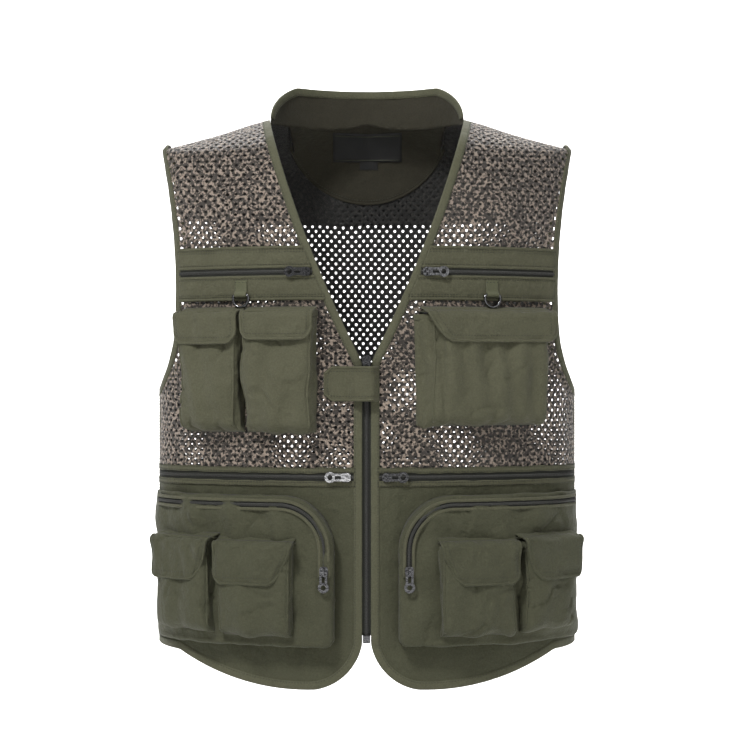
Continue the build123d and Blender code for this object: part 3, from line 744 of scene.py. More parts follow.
# solid panels
def coons(low, high, left, right, rows, cols):
    # a patch between four edges; low and high run left to right, left and right run up
    low, high = resample(low, cols), resample(high, cols)
    left, right = resample(left, rows), resample(right, rows)
    u = np.linspace(0, 1, cols)[None, :, None]
    v = np.linspace(0, 1, rows)[:, None, None]
    flat = (1 - v) * low[None] + v * high[None] + (1 - u) * left[:, None] + u * right[:, None]
    flat -= (1 - u) * (1 - v) * low[0] + u * (1 - v) * low[-1] + (1 - u) * v * high[0] + u * v * high[-1]
    return flat


def resample(points, count):
    p = np.asarray(points, float)
    length = np.concatenate([[0], np.cumsum(np.linalg.norm(np.diff(p, axis=0), axis=1))])
    t = np.linspace(0, length[-1], count)
    return np.stack([np.interp(t, length, p[:, k]) for k in range(p.shape[1])], 1)


def toWrap(points):
    p = np.array(points, float)
    return np.stack([qLow(p[:, 0]), p[:, 1]], 1)


panelSize = {"thick": 1.1, "middle": 0.6, "fold": 1.3, "rows": 60, "cols": 84, "start": 14, "edge": 4.6,
             "backRows": 50, "backCols": 150}
seamFoot, waistLow = edgeSize["seamFoot"], body["waistLow"]
hemWrap = np.vstack([toWrap(hemEdge[hemEdge[:, 0] > 1]), [(seamQ, seamFoot)]])
rows, cols, start = panelSize["rows"], panelSize["cols"], panelSize["start"]
for word, sign in (("Left", 1), ("Right", -1)):
    left = np.vstack([hemWrap[:start + 1][::-1], [(panelSize["edge"], waistLow)]])
    flat = coons(hemWrap[start:], [(panelSize["edge"], waistLow), (seamQ, waistLow)], left,
                 [(seamQ, seamFoot), (seamQ, waistLow)], rows, cols)
    q, z = flat[..., 0].ravel(), flat[..., 1].ravel()
    up = np.repeat(np.linspace(0, 1, rows), cols)
    across = np.tile(np.linspace(0, 1, cols), rows)
    fade = smooth(up / 0.16 - 0.35) * smooth((1 - up) / 0.1)
    fade = fade * smooth(across / 0.09 - 0.5) * smooth((1 - across) / 0.05)
    hang = np.sin(q / 11.0 + ripple(q, z, 160, 21)) * 0.8 + ripple(q, z * 0.35, 38, 22 + sign) * 0.9
    pucker = ripple(q, z, 16, 25) * 0.35
    p = onBody(xLow(q), z, -1, panelSize["middle"] + (hang * panelSize["fold"] + pucker) * fade)
    p[:, 0] *= sign
    lower = Part().add(p, grid(rows, cols), np.stack([q, z], 1))
    lower = lower.build("lowerFront" + word, [cloths["oliveDark"]], panelSize["thick"])
    finishPiece(lower, "vest", "olive", "front_lower_" + word.lower())

rows, cols = panelSize["backRows"], panelSize["backCols"]
qs, zs = np.meshgrid(np.linspace(-seamQ, seamQ, cols), np.linspace(body["backHem"] + 1, waistLow + 1, rows))
q, z = qs.ravel(), zs.ravel()
fade = smooth((seamQ - np.abs(q)) / 20) * smooth((z - body["backHem"]) / 18) * smooth((waistLow - z) / 18)
hang = np.sin(q / 17 + ripple(q, z, 200, 31)) + ripple(q, z * 0.4, 45, 32)
p = onBody(xLow(q), z, 1, panelSize["middle"] + hang * fade)
lowerBack = Part().add(p, grid(rows, cols), np.stack([q, z], 1))
lowerBack = lowerBack.build("lowerBack", [cloths["oliveDark"]], panelSize["thick"])
finishPiece(lowerBack, "vest", "olive", "back_lower_panel")
2 * seamQ / 1000

# bound seam where the back net meets the solid cloth, and the two side seams
seamSize = {"stitch": 3.4, "top": -289.0, "low": -559.0, "steps": 70, "backSteps": 160}
joinSeam = Part()
across, level = xLow(np.linspace(-seamQ + 1, seamQ - 1, seamSize["backSteps"])), waistLow + 1
pts = onBody(across, level, 1, 0.0)
sweepStrip(joinSeam, pts, normalAt(pts), roundStrip(-5, 5, 0.7, 2.0, 0.6))
for shift in (seamSize["stitch"], -seamSize["stitch"]):
    sew("vest", onBody(across, level + shift, 1, 0), normalAt(pts), 2.1)
for sign in (1, -1):
    heights = np.linspace(seamSize["low"], seamSize["top"], seamSize["steps"])
    pts = np.stack([np.full(len(heights), sign * body["halfWidth"]), 0 * heights, heights], 1)
    out = np.tile([sign * 1.0, 0, 0], (len(heights), 1))
    sweepStrip(joinSeam, pts, out, roundStrip(-3.2, 3.2, -0.6, 1.9, 0.8))
    sew("vest", pts + [0, -2.2, 0], out, 1.95)
finishPiece(joinSeam.build("panelSeams", [cloths["binding"]]), "vest", "binding")
print("solid panels made")

# bindings round every edge
bindingSize = {"width": 8.8, "low": -0.8, "high": 2.0, "corner": 1.1, "stitch": 7.2, "step": 4.0, "wave": 0.12,
               "collarLow": -2.0, "collarHigh": 0.8}
bindingSection = roundStrip(0.0, bindingSize["width"], bindingSize["low"], bindingSize["high"],
                            bindingSize["corner"])


def underRidge(edge):
    return onBody(edge[:, 0], np.minimum(edge[:, 1], ridge(edge[:, 0]) - 0.02), -1)


def bindPath(part, pts, closed=False, turn=1, sign=1):
    pts = even(pts, bindingSize["step"], closed)
    normals = normalAt(pts)
    pts = pts * [sign, 1, 1]
    normals = normals * [sign, 1, 1]
    wave = np.sin(np.arange(len(pts)) * 0.9) * bindingSize["wave"]
    pts = pts + normals * wave[:, None]
    points, normals, across = sweepStrip(part, pts, normals, bindingSection, closed, turn * sign)
    for lift in (bindingSize["high"] + 0.05, bindingSize["low"] - 0.05):
        sew("vest", points + across * bindingSize["stitch"], normals, lift, closed)


hemEndQ = np.linspace(qLow(np.array(edgeSize["hemSideX"])), seamQ, 20)
frontPath = np.vstack([
    underRidge(vEdge), onBody(centreEdge[:, 0], centreEdge[:, 1], -1), onBody(hemEdge[:, 0], hemEdge[:, 1], -1),
    onBody(xLow(hemEndQ), np.linspace(body["hemSide"], seamFoot, 20), -1)])
arm = armEdge[armEdge[:, 0] < body["halfWidth"]]
lowCurve = armEdge[::-1][-40:]
armFoot = (body["halfWidth"] - 0.01, np.interp(body["halfWidth"], lowCurve[:, 0], lowCurve[:, 1]))
armFront = underRidge(np.vstack([[armFoot], arm]))
armPath = np.vstack([armFront, armFront[::-1][1:-1] * [1, -1, 1]])
arms = Part()
for word, sign in (("Left", 1), ("Right", -1)):
    strip = Part()
    bindPath(strip, frontPath, sign=sign)
    piece = strip.build("edgeBinding" + word, [cloths["binding"]])
    finishPiece(piece, "vest", "binding", "front_binding_" + word.lower())
    bindPath(arms, armPath, closed=True, sign=sign)
finishPiece(arms.build("armBindings", [cloths["binding"]]), "vest", "binding", "armhole_bindings")
hem = Part()
bindPath(hem, onBody(xLow(np.linspace(-seamQ + 0.5, seamQ - 0.5, 150)), body["backHem"], 1), turn=-1)
finishPiece(hem.build("backHem", [cloths["binding"]]), "vest", "binding", "back_hem_binding")
print("bindings made")

# collar, facing and labels
collarSize = {"thick": 1.2, "sunk": -0.6, "round": (97.0, 27.0), "topHalf": 77.0, "rows": 14, "cols": 96,
              "facingSide": 86.0, "facingEnd": -20.0, "facingLow": -79.0, "facingRows": 26, "facingCols": 70,
              "yokeHalf": 85.0, "yokeLow": -104.0}
roundX, roundZ = collarSize["round"]
topHalf, topZ = collarSize["topHalf"], body["collarTop"]
topEdge = arc3((body["neckX"], edgeSize["neckTop"]), (roundX, roundZ), (topHalf, topZ), 14)
topEdge = np.vstack([topEdge, [(-topHalf, topZ)], topEdge[::-1] * [-1, 1]])
rows, cols = collarSize["rows"], collarSize["cols"]
topLine = resample(topEdge, cols)


def onCollar(x, z, out):
    r = body["collarRadius"] + out
    n = np.stack([x / body["collarRadius"], np.sqrt(np.maximum(1 - (x / body["collarRadius"]) ** 2, 0)), 0 * x], -1)
    p = np.stack([n[..., 0] * r, body["collarY"] + n[..., 1] * r, z], -1)
    return p, n


footZ = neckLimit(topLine[:, 0], collarSize["sunk"]) - 2.5
t = np.linspace(0, 1, rows)[:, None]
x, z = np.broadcast_to(topLine[:, 0], (rows, cols)), footZ * (1 - t) + (topLine[:, 1] - 0.5) * t
lean = ripple(x, z, 60, 41) * 0.5 * smooth(t * 2) * smooth((1 - t) * 4)
collar = Part().add(onCollar(x, z, collarSize["sunk"] + lean)[0], grid(rows, cols), np.stack([x, z], -1))
collar = collar.build("collarStand", [cloths["lining"]], collarSize["thick"])
finishPiece(collar, "vest", "olive", "collar")
rim = Part()
keep = topLine[:, 1] > 3
rimPts, rimN = onCollar(topLine[keep, 0], topLine[keep, 1], 0.0)
collarLow, collarHigh = bindingSize["collarLow"], bindingSize["collarHigh"]
rimSection = roundStrip(0, bindingSize["width"], collarLow, collarHigh, bindingSize["corner"])
down = sweepStrip(rim, rimPts, rimN, rimSection, turn=-1)[2]
for lift in (collarHigh + 0.1, collarLow - 0.1):
    sew("vest", rimPts + down * bindingSize["stitch"], rimN, lift)
finishPiece(rim.build("collarBinding", [cloths["binding"]]), "vest", "binding", "collar_binding")

side, end = collarSize["facingSide"], collarSize["facingEnd"]
rows, cols = collarSize["facingRows"], collarSize["facingCols"]
facingLow = arc3((-side, end), (0, collarSize["facingLow"]), (side, end), 60)
xs = np.linspace(-side, side, cols)
lowLine = np.interp(xs, facingLow[:, 0], facingLow[:, 1])
highLine = neckLimit(xs, -1.0)
v = np.linspace(0, 1, rows)[:, None]
x, z = np.broadcast_to(xs, (rows, cols)), lowLine * (1 - v) + highLine * v
wave = ripple(x, z, 48, 51) * 0.5 * smooth(v * 6) * smooth((1 - v) * 6)
p = onBody(x, z, 1, -1.5 - np.abs(wave) * 0.8)
facing = Part().add(p, grid(rows, cols), np.stack([x, z], -1)).build("neckFacing", [cloths["lining"]], 1.0)
finishPiece(facing, "vest", "lining", "neck_facing")
edgeX = facingLow[:, 0]
edgeP = onBody(edgeX, facingLow[:, 1] + 0.5, 1, 0.0)
hemRoll, rollP = Part(), even(edgeP, 3)
sweepStrip(hemRoll, rollP, normalAt(rollP), roundStrip(-1.5, 1.5, -2.6, -0.3, 0.9))
finishPiece(hemRoll.build("facingHem", [cloths["lining"]]), "vest", "lining")
sew("vest", onBody(edgeX, facingLow[:, 1] + 4, 1, 0), normalAt(edgeP), -2.2)

yokeCut = backLoop.copy()
yokeCut[yokeCut[:, 1] < collarSize["yokeLow"], 1] = collarSize["yokeLow"]


def yokeLimit(x):
    low = np.interp(x, facingLow[:, 0], facingLow[:, 1])
    return np.where(np.abs(x) < collarSize["yokeHalf"], low + 3.5, neckLimit(x))


# the yoke net takes the back net's painted-shade colour
yoke = makeNet("netYoke", frontNetTree, 1, 1, yokeCut, (-225, 225), (-106, netSize["top"]), 0.3, backNetShadeLook,
               offset=-0.75, ceiling=yokeLimit, level=0)
finishPiece(yoke, "vest", "back_net", "back_yoke_net")

labelSize = {"half": 39.0, "top": 4.0, "low": -31.0, "tagLow": -40.0, "tag": (-9.0, 12.0), "line": 36.5,
             "rows": 14, "cols": 26}


def labelPatch(part, x0, x1, z0, z1, slot, d):
    rows, cols = labelSize["rows"], labelSize["cols"]
    x, z = np.meshgrid(np.linspace(x0, x1, cols), np.linspace(z0, z1, rows))
    t, u = (z - z0) / (z1 - z0), (x - x0) / (x1 - x0)
    lift = 0.6 * np.sin(math.pi * t) * np.sin(math.pi * u)
    part.add(onBody(x, z, 1, d - lift), grid(rows, cols), np.stack([x, z], -1), slot)


labels = Part()
half, low, line = labelSize["half"], labelSize["low"], labelSize["line"]
top = min(labelSize["top"], float(neckLimit(np.array([half]))[0]) - 2)
labelPatch(labels, -half, half, low, top, 0, -2.7)
labelPatch(labels, *labelSize["tag"], labelSize["tagLow"], low + 2, 0, -2.5)
labelPatch(labels, -line, line, low + 2.0, low + 2.8, 1, -3.1)
labelPatch(labels, -line, line, top - 3.0, top - 2.2, 1, -3.1)
labels = labels.build("neckLabel", [labelLook, threadLook], 0.5)
finishPiece(labels, "vest", "label", "neck_labels")
print("neck made")

# chest bands and level zips
bandSize = {"inset": 8.4, "thick": 1.0, "middle": 1.9, "zipHalf": 5.2, "crown": 0.7, "rows": 15, "cols": 90,
            "outerX": 240.0, "stitchSteps": 80}


def edgeAt(z, inset):
    # the front's inner and outer edge at a height, moved in by the binding
    inner = np.interp(z, np.r_[centreEdge[::-1, 1], vEdge[::-1, 1]], np.r_[centreEdge[::-1, 0], vEdge[::-1, 0]])
    outer = np.interp(z, np.r_[-600, armEdge[:, 1]], np.r_[bandSize["outerX"], armEdge[:, 0]])
    widest = body["halfWidth"] - 0.1
    outerQ = np.where(outer > widest, seamQ, qLow(np.minimum(outer, widest)))
    return qLow(inner) + inset, outerQ - np.where(outer > widest, 0, inset)


bands = Part()
rows, cols, stitchSteps = bandSize["rows"], bandSize["cols"], bandSize["stitchSteps"]
lowHalf = (body["bandLow"], body["chestZip"] - bandSize["zipHalf"], 61)
highHalf = (body["chestZip"] + bandSize["zipHalf"], body["bandTop"], 62)
for sign in (1, -1):
    for low, high, seed in (lowHalf, highHalf):
        flat = []
        for z0 in np.linspace(low, high, rows):
            a, b = edgeAt(z0, bandSize["inset"] - 1.5)
            flat.append(np.stack([np.linspace(a, b, cols), np.full(cols, z0)], 1))
        flat = np.array(flat)
        q, z = flat[..., 0], flat[..., 1]
        crown = np.sin(math.pi * (z - low) / (high - low)) ** 0.6 * bandSize["crown"]
        folds = ripple(q, z * 0.5, 26, seed + sign) * 0.42 + ripple(q, z, 11, seed + 5) * 0.16
        p = onBody(xLow(q), z, -1, bandSize["middle"] + crown * (1 + folds))
        p[..., 0] *= sign
        bands.add(p, grid(rows, cols), flat)
        for height, shifts in ((low, (2.4, 4.6)), (high, (-2.4, -4.6))):
            line = xLow(np.linspace(*edgeAt(height, bandSize["inset"] - 1.0), stitchSteps))
            pts = onBody(line, height, -1) * [sign, 1, 1]
            sweepStrip(bands, pts, normalAt(pts), roundStrip(-1.1, 1.1, 1.0, 2.9, 0.7))
            besideZip = abs(height - body["chestZip"]) < 8
            for shift in shifts[:1] if besideZip else shifts:
                sewn = onBody(line, height + shift, -1) * [sign, 1, 1]
                sew("vest", sewn, normalAt(sewn), 3.0)
bands = bands.build("chestBands", [cloths["olive"]], bandSize["thick"])
finishPiece(bands, "vest", "olive", "chest_bands")


def levelZip(tapePart, q0, q1, level, base, half, sign):
    pts = onBody(xLow(np.linspace(q0, q1, 90)), level, -1) * [sign, 1, 1]
    nrm = normalAt(pts)
    sweepStrip(tapePart, pts, nrm, roundStrip(-half, half, base, base + 0.8, 0.35))
    sweepStrip(tapePart, pts, nrm, roundStrip(-1.6, 1.6, base + 0.7, base + 1.3, 0.25), slot=1)
    sew("vest", pts, nrm, base + 1.45, book=teeth)


zipSize = {"chestBase": 1.2, "chestHalf": 5.6, "waistHalf": 7.6, "waistStart": 12.0, "waistSteps": 100,
           "foldAt": 6.9, "foldHalf": 3.0, "stitches": (-1.6, 2.2)}
chestTape, waistTape = Part(), Part()
for sign in (1, -1):
    a, b = edgeAt(body["chestZip"], 8.0)
    levelZip(chestTape, a, b, body["chestZip"], zipSize["chestBase"], zipSize["chestHalf"], sign)
    levelZip(waistTape, zipSize["waistStart"], seamQ, body["waistZip"], 0.0, zipSize["waistHalf"], sign)
    line = np.linspace(zipSize["waistStart"], seamQ, zipSize["waistSteps"])
    for height in (1, -1):
        level = body["waistZip"] + height * zipSize["foldAt"]
        folded = level + 0.35 * ripple(line, 0 * line, 22, 81 + height)
        edge = onBody(xLow(line), folded, -1) * [sign, 1, 1]
        foldSection = roundStrip(-zipSize["foldHalf"], zipSize["foldHalf"], 0.5, 2.2, 0.9)
        sweepStrip(waistTape, edge, normalAt(edge), foldSection, slot=2)
        for away in zipSize["stitches"]:
            sewn = onBody(xLow(line), level + height * away, -1) * [sign, 1, 1]
            sew("vest", sewn, normalAt(sewn), 2.5)
finishPiece(chestTape.build("chestZips", [tapeLook, coilLook]), "vest", "zip_tape", "chest_zips")
waistTape = waistTape.build("waistZips", [tapeLook, coilLook, cloths["olive"]])
finishPiece(waistTape, "vest", "zip_tape", "waist_zips")

# main zip: the tapes behind the front edges, and the closed coil
mainSize = {"tapeX": 8.6, "tapeHalf": 7.0, "tapeTop": -260.0, "coilTop": -256.0, "low": -539.0,
            "tapeSteps": 110, "coilSteps": 120}
mainTape, mainCoil = Part(), Part()
heights = np.linspace(mainSize["tapeTop"], mainSize["low"], mainSize["tapeSteps"])
for sign in (1, -1):
    pts = onBody(mainSize["tapeX"] * sign, heights, -1)
    half = mainSize["tapeHalf"]
    sweepStrip(mainTape, pts, normalAt(pts), roundStrip(-half, half, -2.0, -0.9, 0.4))
finishPiece(mainTape.build("mainZipTapes", [tapeLook]), "vest", "zip_tape", "main_zip_tapes")
pts = onBody(0.0, np.linspace(mainSize["coilTop"], mainSize["low"], mainSize["coilSteps"]), -1)
sweepStrip(mainCoil, pts, normalAt(pts), roundStrip(-2.0, 2.0, -2.0, 0.2, 0.6))
finishPiece(mainCoil.build("mainZipCoil", [coilLook]), "vest", "zip_tape", "main_zip_coil")
sew("vest", pts, normalAt(pts), 0.45, book=teeth)
print("zips made")


# local frames on the front: across, up and out
def frameAt(x, radius, centre, sign):
    cx, cy = centre
    turn = math.asin((x - cx) / radius)
    normal = np.array([math.sin(turn), -math.cos(turn), 0])
    point = np.array([cx, cy, 0]) + normal * radius
    xDir = np.array([math.cos(turn), math.sin(turn), 0])

    def place(lx, ly, lz):
        lx, ly, lz = np.broadcast_arrays(*(np.asarray(v, float) for v in (lx, ly, lz)))
        p = point + lx[..., None] * xDir + ly[..., None] * [0, 0, 1] + lz[..., None] * normal
        return p * [sign, 1, 1]
    return place


cargoSize = {"radius": frontRadius + 20, "turn": math.radians(26), "side": 125.0, "innerX": 35.0,
             "top": -397.0, "low": -548.8, "corner": 55.0, "sideY": -4.0, "inset": 8.0, "zipEnd": -478.0,
             "middle": -0.7, "puff": 3.0, "rings": 24, "step": 3.6, "thick": 1.2}
cargoReach = cargoSize["radius"] - cargoSize["side"]
frontCentre = (0.0, frontY)
cargoCentre = (cargoReach * math.sin(cargoSize["turn"]), frontY - cargoReach * math.cos(cargoSize["turn"]))
cargoJoin = cargoSize["radius"] * cargoSize["turn"]
cargoEndAngle = math.pi / 2 + math.asin((cargoSize["sideY"] - cargoCentre[1]) / cargoSize["side"])
cargoEnd = cargoJoin + cargoSize["side"] * (cargoEndAngle - cargoSize["turn"])
cargoStart = cargoSize["radius"] * math.asin(cargoSize["innerX"] / cargoSize["radius"])


def onCargo(p, z, out=0.0):
    # p runs round the cargo pocket's face from the centre front
    big = p <= cargoJoin
    angle = np.where(big, p / cargoSize["radius"], cargoSize["turn"] + (p - cargoJoin) / cargoSize["side"])
    n = np.stack([np.sin(angle), -np.cos(angle), 0 * angle], -1)
    cx, cy = np.where(big, 0, cargoCentre[0]), np.where(big, frontY, cargoCentre[1])
    r = np.where(big, cargoSize["radius"], cargoSize["side"]) + out
    return np.stack([cx + n[..., 0] * r, cy + n[..., 1] * r, z + 0 * angle], -1), n


def toPanel(p, n, stay=1.0):
    # walk inwards until the torso is met
    here = p.copy()
    for _ in range(6):
        sx, sy = np.abs(here[..., 0]), np.abs(here[..., 1])
        inFront = sx <= (sy + frontY) * math.tan(joinAngle)
        gap = np.where(inFront, np.hypot(sx, sy + frontY) - frontRadius,
                       np.hypot(sx - sideX, sy) - body["sideRadius"])
        here = here - n * (gap - stay)[..., None]
    return here


# pouches, cargo pockets and flaps start as plain shells and are settled as cloth
clothJobs = []
planKeys = ("x", "base", "front", "depth", "low", "high", "flap", "drop", "slant", "fold", "sign", "where")
planRows = {
    "chest_large": (121.0, (-75, 68), (-52, 66), 22.0, -326.0, -212.0, (-70, 72), 26.0, 17.0, 8.4, 1, "chest"),
    "chest_inner": (87.0, (-37, 37), (-37, 37), 22.0, -333.0, -212.0, (-37.5, 37.5), 24.0, 0.0, 8.4, -1, "chest"),
    "chest_outer": (155.5, (-34, 34), (-34, 34), 22.0, -333.0, -212.0, (-34.5, 38.5), 28.0, 0.0, 8.4, -1, "chest"),
}
for word, sign in (("left", 1), ("right", -1)):
    planRows["cargo_near_" + word] = (
        112.0, (-39, 39), (-39, 39), 15.0, -540.0, -447.0, (-42, 42), 38.0, 15.0, 5.0, sign, "near")
    planRows["cargo_far_" + word] = (
        185.0, (-36, 36), (-36, 36), 15.0, -537.0, -444.0, (-41, 41), 38.0, 13.0, 5.0, sign, "far")
pouchPlans = {name: dict(zip(planKeys, row)) for name, row in planRows.items()}
arcOf = {"chest": (frontRadius, frontCentre), "near": (cargoSize["radius"], frontCentre),
         "far": (cargoSize["side"], cargoCentre)}
placeOf = {}
for name, plan in pouchPlans.items():
    radius, centre = arcOf[plan["where"]]
    placeOf[name] = (frameAt(plan["x"], radius, centre, plan["sign"]), radius)


def addJob(name, kind, verts, uv, pins):
    rows, cols = pins.shape
    clothJobs.append({"name": name, "kind": kind, "verts": np.array(verts).reshape(-1, 3),
                      "faces": grid(rows, cols), "pins": pins.ravel(), "uv": np.array(uv).reshape(-1, 2),
                      "shape": (rows, cols)})


def sagAt(lx, radius, extra):
    # how far the curved ground lies from the frame's plane
    return np.sqrt(np.maximum(radius ** 2 - lx ** 2, 0)) - radius + extra


pouchShape = {"cols": 64, "rows": 40, "floor": 11.0, "floorShare": 0.16, "cornerOut": 5.0, "inset": 2.4,
              "puff": 6.2, "fold": 2.4, "cargoFold": 1.7, "crease": 2.3}
for name, plan in pouchPlans.items():
    place, radius = placeOf[name]
    depth = plan["depth"] - pouchShape["inset"]
    baseL, baseR = plan["base"]
    left, right = plan["front"]
    baseOut = 1.4 if plan["where"] == "chest" else 0.3
    corner = pouchShape["cornerOut"]
    section = np.vstack([
        [(baseL, sagAt(baseL, radius, baseOut))], [(left + (baseL - left) * 0.25, depth * 0.72)],
        arc3((left, depth - corner), (left + corner * 0.3, depth - corner * 0.3), (left + corner, depth), 6),
        arc3((right - corner, depth), (right - corner * 0.3, depth - corner * 0.3), (right, depth - corner), 6),
        [(right + (baseR - right) * 0.25, depth * 0.72)], [(baseR, sagAt(baseR, radius, baseOut))]])
    section = resample(section, pouchShape["cols"])
    lx, root = section[:, 0], sagAt(section[:, 0], radius, baseOut)
    verts, uv, width, share = [], [], right - left, pouchShape["floorShare"]
    for tk in np.linspace(0, 1, pouchShape["rows"]):
        # the first rows form the floor, the rest the wall
        floorPart = np.clip(tk / share, 0, 1)
        rise = 1 - math.cos(floorPart * math.pi / 2)
        outShare = math.sin(floorPart * math.pi / 2) ** 0.8
        y = plan["low"] + 1.5 + rise * pouchShape["floor"] + np.clip((tk - share) / (1 - share), 0, 1) * (
            plan["high"] - plan["low"] - 1.5 - pouchShape["floor"])
        lz = root + (section[:, 1] - root) * outShare
        middle = np.clip(1 - np.abs((lx - (left + right) / 2) / (width / 2)) ** 3, 0, 1)
        swell = pouchShape["puff"] * middle * math.sin(math.pi * tk ** 0.75) * (0.7 if plan["depth"] < 20 else 1.0)
        swell = swell * float(smooth(np.array((1.05 - tk) / 0.45)))
        lz = lz + swell
        narrow = 1 - 0.03 * math.cos(tk * math.pi / 2)
        verts.append(place(lx * narrow, y, lz))
        uv.append(np.stack([np.arange(len(lx)) * (width + 2 * depth) / len(lx), np.full(len(lx), y)], 1))
    pins = np.zeros((len(verts), len(lx)))
    pins[:, :2] = pins[:, -2:] = pins[0] = 1
    pins[-1], pins[-2] = 0.75, 0.5
    addJob(name, "pouch", verts, uv, pins)

# flaps: from the fold line, out over the pouch and down its front
flapShape = {"cols": 54, "rows": 26, "corner": 13.0, "droop": 4.6, "chestDroop": 0.6, "endWide": 9.0}
for name, plan in pouchPlans.items():
    place, radius = placeOf[name]
    seam, front = plan["high"] + 6.0, plan["depth"] + 2.0
    left, right = plan["flap"]
    profile = resample(np.vstack([
        [(plan["fold"], seam - 0.7)],
        arc3((front - 4.5, seam - 2.2), (front - 0.9, plan["high"] + 1.4), (front, plan["high"] - 4.0), 8),
        [(front, plan["high"] - plan["drop"] + 0.5)]]), flapShape["rows"])
    verts, uv, along = [], [], 0.0
    bottom, c = plan["high"] - plan["drop"], flapShape["corner"]
    droop = flapShape["droop"] * (flapShape["chestDroop"] if plan["where"] == "chest" else 1.0)
    for k, (lz, y) in enumerate(profile):
        if k:
            along += math.hypot(lz - profile[k - 1][0], y - profile[k - 1][1])
        t = k / (flapShape["rows"] - 1)
        near = min(max((bottom + c - y) / c, 0.0), 1.0)
        cut = c * 0.9 * (1 - math.sqrt(max(1 - near ** 2, 0.0)))
        slantCut = plan["slant"] * smooth(np.array((seam - y) / (seam - bottom)))
        lx = np.linspace(left + cut + slantCut, right - cut, flapShape["cols"])
        u = (lx - left) / (right - left)
        ends = np.clip(1 - np.minimum(lx - left - slantCut, right - lx) / flapShape["endWide"], 0, 1) ** 2
        wave = np.sin(u * 7 + k * 0.1 + len(name)) * 0.5 * t
        lower = -droop * ends * smooth(np.array(t * 1.4))
        dip = 0.9 * np.sin(math.pi * u) * t
        verts.append(place(lx, y - dip * 0.5, lz + lower + wave * 0.6 + dip))
        uv.append(np.stack([lx, np.full(len(lx), -along)], 1))
    pins = np.zeros((len(verts), len(lx)))
    pins[2] = 0.6
    pins[-1] = pins[:, 0] = pins[:, -1] = 0.45
    pins[:2] = 1
    addJob(name, "flap", verts, uv, pins)

# cargo pockets: side wall up from the panel, rounded edge, then rings in to the middle
corner = cargoSize["corner"]
p0, z0, z1 = cargoStart, cargoSize["low"], cargoSize["top"]
quarterMiddle = 1 - math.sqrt(0.5)  # how far in a quarter circle's middle lies, for a radius of 1
outline = np.vstack([
    [(p0, z0 + 7), (p0, z1 - corner)],
    arc3((p0, z1 - corner), (p0 + corner * quarterMiddle, z1 - corner * quarterMiddle), (p0 + corner, z1), 22)[1:],
    [(cargoEnd - 3, z1), (cargoEnd - 1, z1 - 2), (cargoEnd, z0 + 2), (cargoEnd - 1, z0)], [(p0 + 7, z0)],
    arc3((p0 + 7, z0), (p0 + 2, z0 + 2), (p0, z0 + 7), 6)[1:-1]])
outline = even(outline, cargoSize["step"], closed=True)
middle = np.array([(p0 + cargoEnd) / 2, (z0 + z1) / 2])
for word, sign in (("left", 1), ("right", -1)):
    rings, pins = [], []
    full, n = onCargo(outline[:, 0], outline[:, 1], cargoSize["middle"])
    root = toPanel(full, n, 1.0)
    inwards = middle - outline
    inwards /= np.linalg.norm(inwards, axis=1, keepdims=True)
    for share, move in ((0.0, 0.0), (0.35, -0.6), (0.7, -0.8), (0.9, 0.4)):
        moved = outline + inwards * move
        shift, _ = onCargo(moved[:, 0], moved[:, 1], cargoSize["middle"])
        rings.append(root + (full - root) * share + (shift - full) * share)
        pins.append(1.0 if share == 0 else 0.5)
    for k in range(1, cargoSize["rings"]):
        f = 1 - (k / cargoSize["rings"]) ** 1.15 * 0.995
        ringAt = middle + (outline - middle) * f
        puff = cargoSize["puff"] * (1 - f ** 4) - 1.2 * math.exp(-((1 - f) * 90 - 8) ** 2 / 12)
        at, nn = onCargo(ringAt[:, 0], ringAt[:, 1], cargoSize["middle"])
        at = at + nn * (puff * np.clip((cargoEnd - ringAt[:, 0]) / 40, 0.1, 1))[:, None]
        rings.append(at)
        pins.append(0.35 if k < 6 else 0.0)
    verts = np.array(rings) * [sign, 1, 1]
    rows, cols = verts.shape[:2]
    last = (rows - 1) * cols
    tip = verts[-1].mean(0)
    faces = grid(rows, cols, wrapCols=True)
    faces += [(last + i, last + (i + 1) % cols, rows * cols) for i in range(cols)]
    verts = np.vstack([verts.reshape(-1, 3), tip])
    uv = verts[:, [0, 2]] * [1.25, 1]
    pin = np.r_[np.repeat(pins, cols), 0.0]
    clothJobs.append({"name": word, "kind": "cargo", "verts": verts, "faces": faces, "pins": pin, "uv": uv,
                      "shape": (rows, cols)})

clothRun = {"frames": 20, "shrink": -0.07, "pressure": 2.2, "cap": 4.5, "quality": 6, "mass": 0.12,
            "tension": 12, "shear": 6, "bending": 0.06, "damping": 6, "gravity": 0.25}


